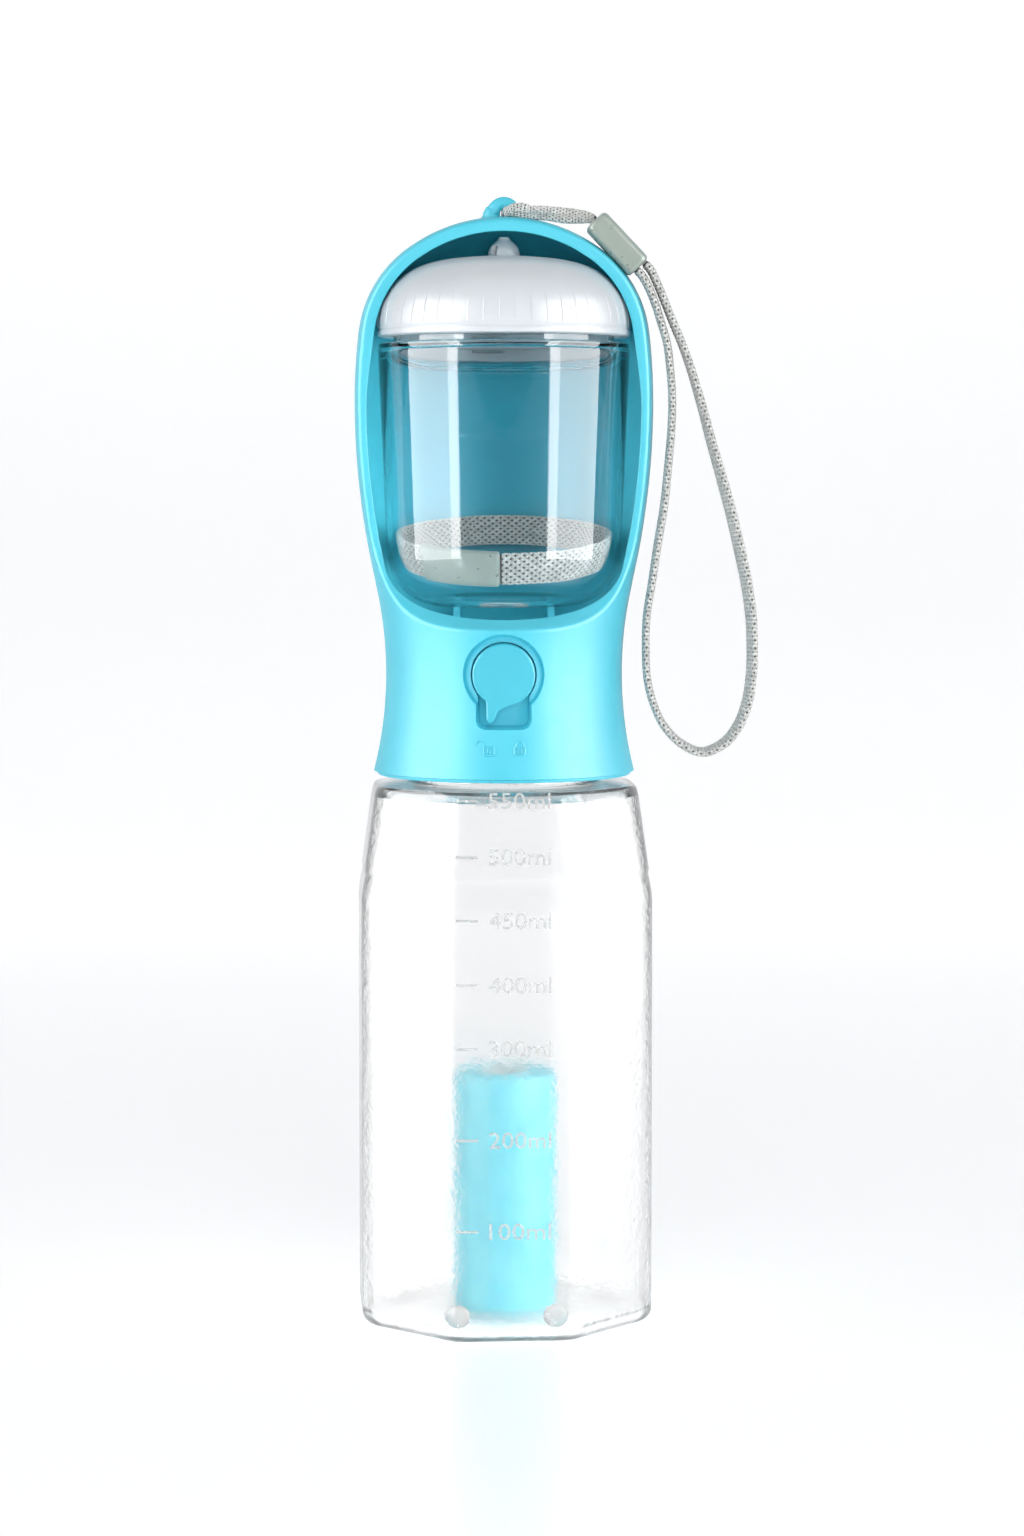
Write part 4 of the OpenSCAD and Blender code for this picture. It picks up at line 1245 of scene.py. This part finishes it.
CROWN_A = math.degrees(math.atan2(5.4 - (LID_RISE - 90), 17.6))
dome = [(29.0, 0.0), (31.55, 0.0), (32.05, 0.25), (32.2, 0.8), (32.2, 1.5), (32.0, 1.7), (32.0, 1.9),
        (32.15, 2.1), (32.1, 4.0)]
shoulder = [(32.1, 4.0), (31.7, 6.5), (31.0, 8.6), (29.9, 10.7), (28.3, 12.9), (26.2, 14.9), (23.6, 16.7),
            (20.3, 18.1), (16.3, 19.1), (11, 19.8), (5.5, 20.2), (0, LID_RISE)]
dome += [tuple(p) for p in resample(shoulder, 1.0)[1:]]
hollow = [(28.8, 0.2), (28.8, 3.4), (28.15, 3.6), (28.15, 6.9), (25.4, 6.9)]
hollow += arc((17.6, 5.4), 10.4, 45, CROWN_A, 10) + arc((0, LID_RISE - 90), 88.4, CROWN_A, 90, 8)[1:]
lid = make_object("lid_dome", *lathe(ring_profile(hollow[::-1] + dome), 192), [lid_white], sharp=45)


def rib_tree():
    tree = bpy.data.node_groups.new("grip_ribs", "GeometryNodeTree")
    face = tree.interface
    face.new_socket("Rib", in_out="INPUT", socket_type="NodeSocketGeometry")
    face.new_socket("Rib Count", in_out="INPUT", socket_type="NodeSocketInt").default_value = 48
    face.new_socket("Finish", in_out="INPUT", socket_type="NodeSocketMaterial")
    face.new_socket("Ribs", in_out="OUTPUT", socket_type="NodeSocketGeometry")
    new = tree.nodes.new
    link = tree.links.new
    source = new("NodeGroupInput")
    result = new("NodeGroupOutput")
    dots = new("GeometryNodePoints")
    link(source.outputs["Rib Count"], dots.inputs["Count"])
    index = new("GeometryNodeInputIndex")
    share = new("ShaderNodeMath")
    share.operation = "DIVIDE"
    link(index.outputs["Index"], share.inputs[0])
    link(source.outputs["Rib Count"], share.inputs[1])
    angle = new("ShaderNodeMath")
    angle.operation = "MULTIPLY"
    angle.inputs[1].default_value = 2 * math.pi
    link(share.outputs["Value"], angle.inputs[0])
    turn = new("ShaderNodeCombineXYZ")
    link(angle.outputs["Value"], turn.inputs["Z"])
    place = new("GeometryNodeInstanceOnPoints")
    link(dots.outputs["Points"], place.inputs["Points"])
    link(source.outputs["Rib"], place.inputs["Instance"])
    link(turn.outputs["Vector"], place.inputs["Rotation"])
    real = new("GeometryNodeRealizeInstances")
    link(place.outputs["Instances"], real.inputs["Geometry"])
    paint = new("GeometryNodeSetMaterial")
    link(real.outputs["Geometry"], paint.inputs["Geometry"])
    link(source.outputs["Finish"], paint.inputs["Material"])
    link(paint.outputs["Geometry"], result.inputs["Ribs"])
    return tree


# %% Lid ribs
def dome_radius(h):
    line = sorted((z, r) for r, z in dome)
    return float(np.interp(h, [z for z, _ in line], [r for _, r in line]))


FIRST_RIB = 0.033
rib_line = [(-dome_radius(h) * math.sin(FIRST_RIB), -dome_radius(h) * math.cos(FIRST_RIB), h + LID_FOOT)
            for h in np.linspace(2.6, 10.2, 8)]
fade = 0.13 * np.array([0.5, 1, 1, 1, 1, 0.9, 0.6, 0.2])
rib = make_object("grip_rib", *tube(rib_line, fade, 6), [lid_white])
RIBS = rib_tree()
mod = rib.modifiers.new("ribs", "NODES")
mod.node_group = RIBS
mod[socket_id(RIBS, "Rib Count")] = 50
mod[socket_id(RIBS, "Finish")] = lid_white
ribs = bake(rib)
print("grip ribs:", len(ribs.data.polygons), "faces")

# %% Lid knob
top = LID_FOOT + LID_RISE
knob_line = [(0.001, top - 0.9), (4.35, top - 0.9), (4.3, top - 0.2), (4.05, top + 0.35), (4.0, top + 0.9),
             (3.75, top + 1.8), (3.2, top + 2.7), (2.45, top + 3.4), (1.8, top + 3.9), (1.5, top + 4.3),
             (1.42, top + 4.6), (1.2, top + 4.8), (0.7, top + 4.9), (0.001, top + 4.9)]
knob = make_object("knob", *lathe(knob_line, 72), [lid_white], sharp=60)
door = [(x, y, z) for y in (-6.0, -1.2) for x, z in
        [(-0.85, top - 0.05), (0.85, top - 0.05)] + [(0.85 * math.cos(a), top + 1.6 + 0.85 * math.sin(a))
                                                     for a in np.linspace(0, math.pi, 9)]]
count = len(door) // 2
door_faces = [list(range(count))[::-1], list(range(count, 2 * count))]
door_faces += [[k, (k + 1) % count, count + (k + 1) % count, count + k] for k in range(count)]
DOOR_SPIN = math.radians(-40)
cos_spin = math.cos(DOOR_SPIN)
sin_spin = math.sin(DOOR_SPIN)
door = [(x * cos_spin - y * sin_spin, x * sin_spin + y * cos_spin, z) for x, y, z in door]
cutter = make_object("door_cutter", door, door_faces, [lid_white])
cut = knob.modifiers.new("door", "BOOLEAN")
cut.object = cutter
cut.solver = "EXACT"
knob = bake(knob)
bpy.data.objects.remove(cutter)
lid = joined("container_lid_dome", [lid, ribs, knob])
finish_piece(lid, "lid", "white_plastic", "container_lid")

# %% [markdown]
# ## Finishes for the carried-over parts
# The seals, the spring and the valve keep their exact CAD shapes and only get a better finish.

# %% CAD finishes
FINISH = {
    "roll_core": card, "neck_gasket": pale_rubber, "neck_cap": blue_satin, "valve_barrel": valve_blue,
    "inlet_seal": pale_rubber, "outlet_grommet": pale_rubber, "barrel_end_cap": valve_blue,
    "end_cap_seal": dark_rubber, "plunger_stem": stem_grey, "stem_o_ring": dark_rubber,
    "valve_plug": dark_rubber, "spring_washer": steel, "cup_seal": pale_rubber,
}
for node, mat in FINISH.items():
    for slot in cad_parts[node].material_slots:
        slot.material = mat
print("finished CAD parts:", len(FINISH))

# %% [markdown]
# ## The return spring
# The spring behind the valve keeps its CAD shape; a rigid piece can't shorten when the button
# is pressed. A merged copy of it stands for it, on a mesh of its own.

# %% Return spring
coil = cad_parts["return_spring"].data
coil_verts = [tuple(v.co / MM) for v in coil.vertices]
spring = make_object("valve_spring", coil_verts, [list(f.vertices) for f in coil.polygons], [steel], sharp=60)
finish_piece(spring, "head", "spring_steel", "return_spring")
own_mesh(spring)

# %% [markdown]
# ## Floor, backdrop and light
# A white sweep stands behind the bottle, as in a studio. Two tall soft boxes at the sides draw the
# long reflections on the cup, and softer ones fill the trough. Two dark cloths behind, which only
# the bent rays in clear plastic can see, draw the bottle's edges.

# %% Studio
def soft_box(name, place, target, width, height, power, seen):
    """An area lamp turned to the target; seen says whether it shows in reflections or only lights."""
    data = bpy.data.lights.new(name, "AREA")
    data.shape = "RECTANGLE"
    data.size = width
    data.size_y = height
    data.energy = power
    obj = bpy.data.objects.new(name, data)
    bpy.context.scene.collection.objects.link(obj)
    obj.location = place
    away = unit(np.array(target, float) - np.array(place, float))
    yaw = math.atan2(away[1], away[0])
    obj.rotation_euler = (math.pi / 2 + math.asin(away[2]), 0, yaw - math.pi / 2)
    obj.visible_camera = False
    obj.visible_transmission = False
    obj.visible_diffuse = not seen
    obj.visible_glossy = seen
    return obj


def beside(azimuth, distance, height):
    a = math.radians(azimuth)
    return (distance * math.sin(a), -distance * math.cos(a), height)


sweep = [(-1.6, 0.0), (0.9, 0.0)] + [(0.9 + 0.5 * math.sin(a), 0.5 - 0.5 * math.cos(a))
                                     for a in np.linspace(0.1, math.pi / 2, 12)] + [(1.4, 2.2)]
rows = []
verts = []
for y, z in sweep:
    rows.append([len(verts), len(verts) + 1])
    verts += [(-3000, y * 1000, z * 1000 - 0.05), (3000, y * 1000, z * 1000 - 0.05)]
paper, paper_tree, paper_shader = new_material("studio_paper", (0.86, 0.865, 0.875), 0.32)
coords = paper_tree.nodes.new("ShaderNodeTexCoord")
parts_of = paper_tree.nodes.new("ShaderNodeSeparateXYZ")
glow = paper_tree.nodes.new("ShaderNodeMapRange")
glow.interpolation_type = "SMOOTHSTEP"
glow.inputs["From Min"].default_value = 0.0
glow.inputs["From Max"].default_value = 1.3
glow.inputs["To Min"].default_value = 0.18
glow.inputs["To Max"].default_value = 0.44
paper_tree.links.new(coords.outputs["Object"], parts_of.inputs["Vector"])
paper_tree.links.new(parts_of.outputs["Y"], glow.inputs["Value"])
paper_tree.links.new(glow.outputs["Result"], paper_shader.inputs["Emission Strength"])
paper_shader.inputs["Emission Color"].default_value = (0.98, 0.985, 1, 1)
backdrop = make_object("studio_sweep", verts, grid_faces(rows), [paper])
world = bpy.data.worlds.new("studio")
world.use_nodes = True
room = world.node_tree.nodes["Background"]
room.inputs["Color"].default_value = (0.97, 0.98, 1, 1)
path = world.node_tree.nodes.new("ShaderNodeLightPath")
strength = None
for ray, change in (("Is Glossy Ray", -0.88), ("Is Diffuse Ray", -0.62)):
    step = world.node_tree.nodes.new("ShaderNodeMath")
    step.operation = "MULTIPLY_ADD"
    step.inputs[1].default_value = change
    step.inputs[2].default_value = 0.9
    world.node_tree.links.new(path.outputs[ray], step.inputs[0])
    if strength is not None:
        world.node_tree.links.new(strength, step.inputs[2])
    strength = step.outputs["Value"]
world.node_tree.links.new(strength, room.inputs["Strength"])
bpy.context.scene.world = world
middle = (0, 0, 0.2)
for side in (-1, 1):
    name = "left" if side < 0 else "right"
    soft_box(name + "_fill", beside(side * 69, 0.85, 0.32), middle, 0.9, 1.0, 3.7 + 0.3 * side, False)
    soft_box(name + "_strip", beside(side * 69.5, 0.85, 0.34), middle, 0.90, 0.9, 25.0, True)
    soft_box(name + "_edge", beside(side * 46.5, 0.80, 0.34), middle, 0.15, 0.9, 3.0, True)
soft_box("top_fill", (0.0, -0.55, 0.95), (0, 0, 0.2), 0.8, 0.6, 2.6, False)
soft_box("front_fill", (0.06, -1.05, 0.24), (0, 0, 0.22), 0.6, 0.4, 3.9, False)
black, _, _ = new_material("black_cloth", (0.01, 0.01, 0.01), 0.9)
for side in (-1, 1):
    flag = [(side * 225, 556, -50), (side * 460, 386, -50), (side * 460, 386, 600), (side * 225, 556, 600)]
    cloth = make_object("dark_flag_" + ("left" if side < 0 else "right"), flag, [[0, 1, 2, 3]], [black])
    cloth.visible_camera = False
    cloth.visible_diffuse = False
    cloth.visible_glossy = False
    cloth.visible_shadow = False
bpy.context.scene.view_settings.view_transform = "Standard"
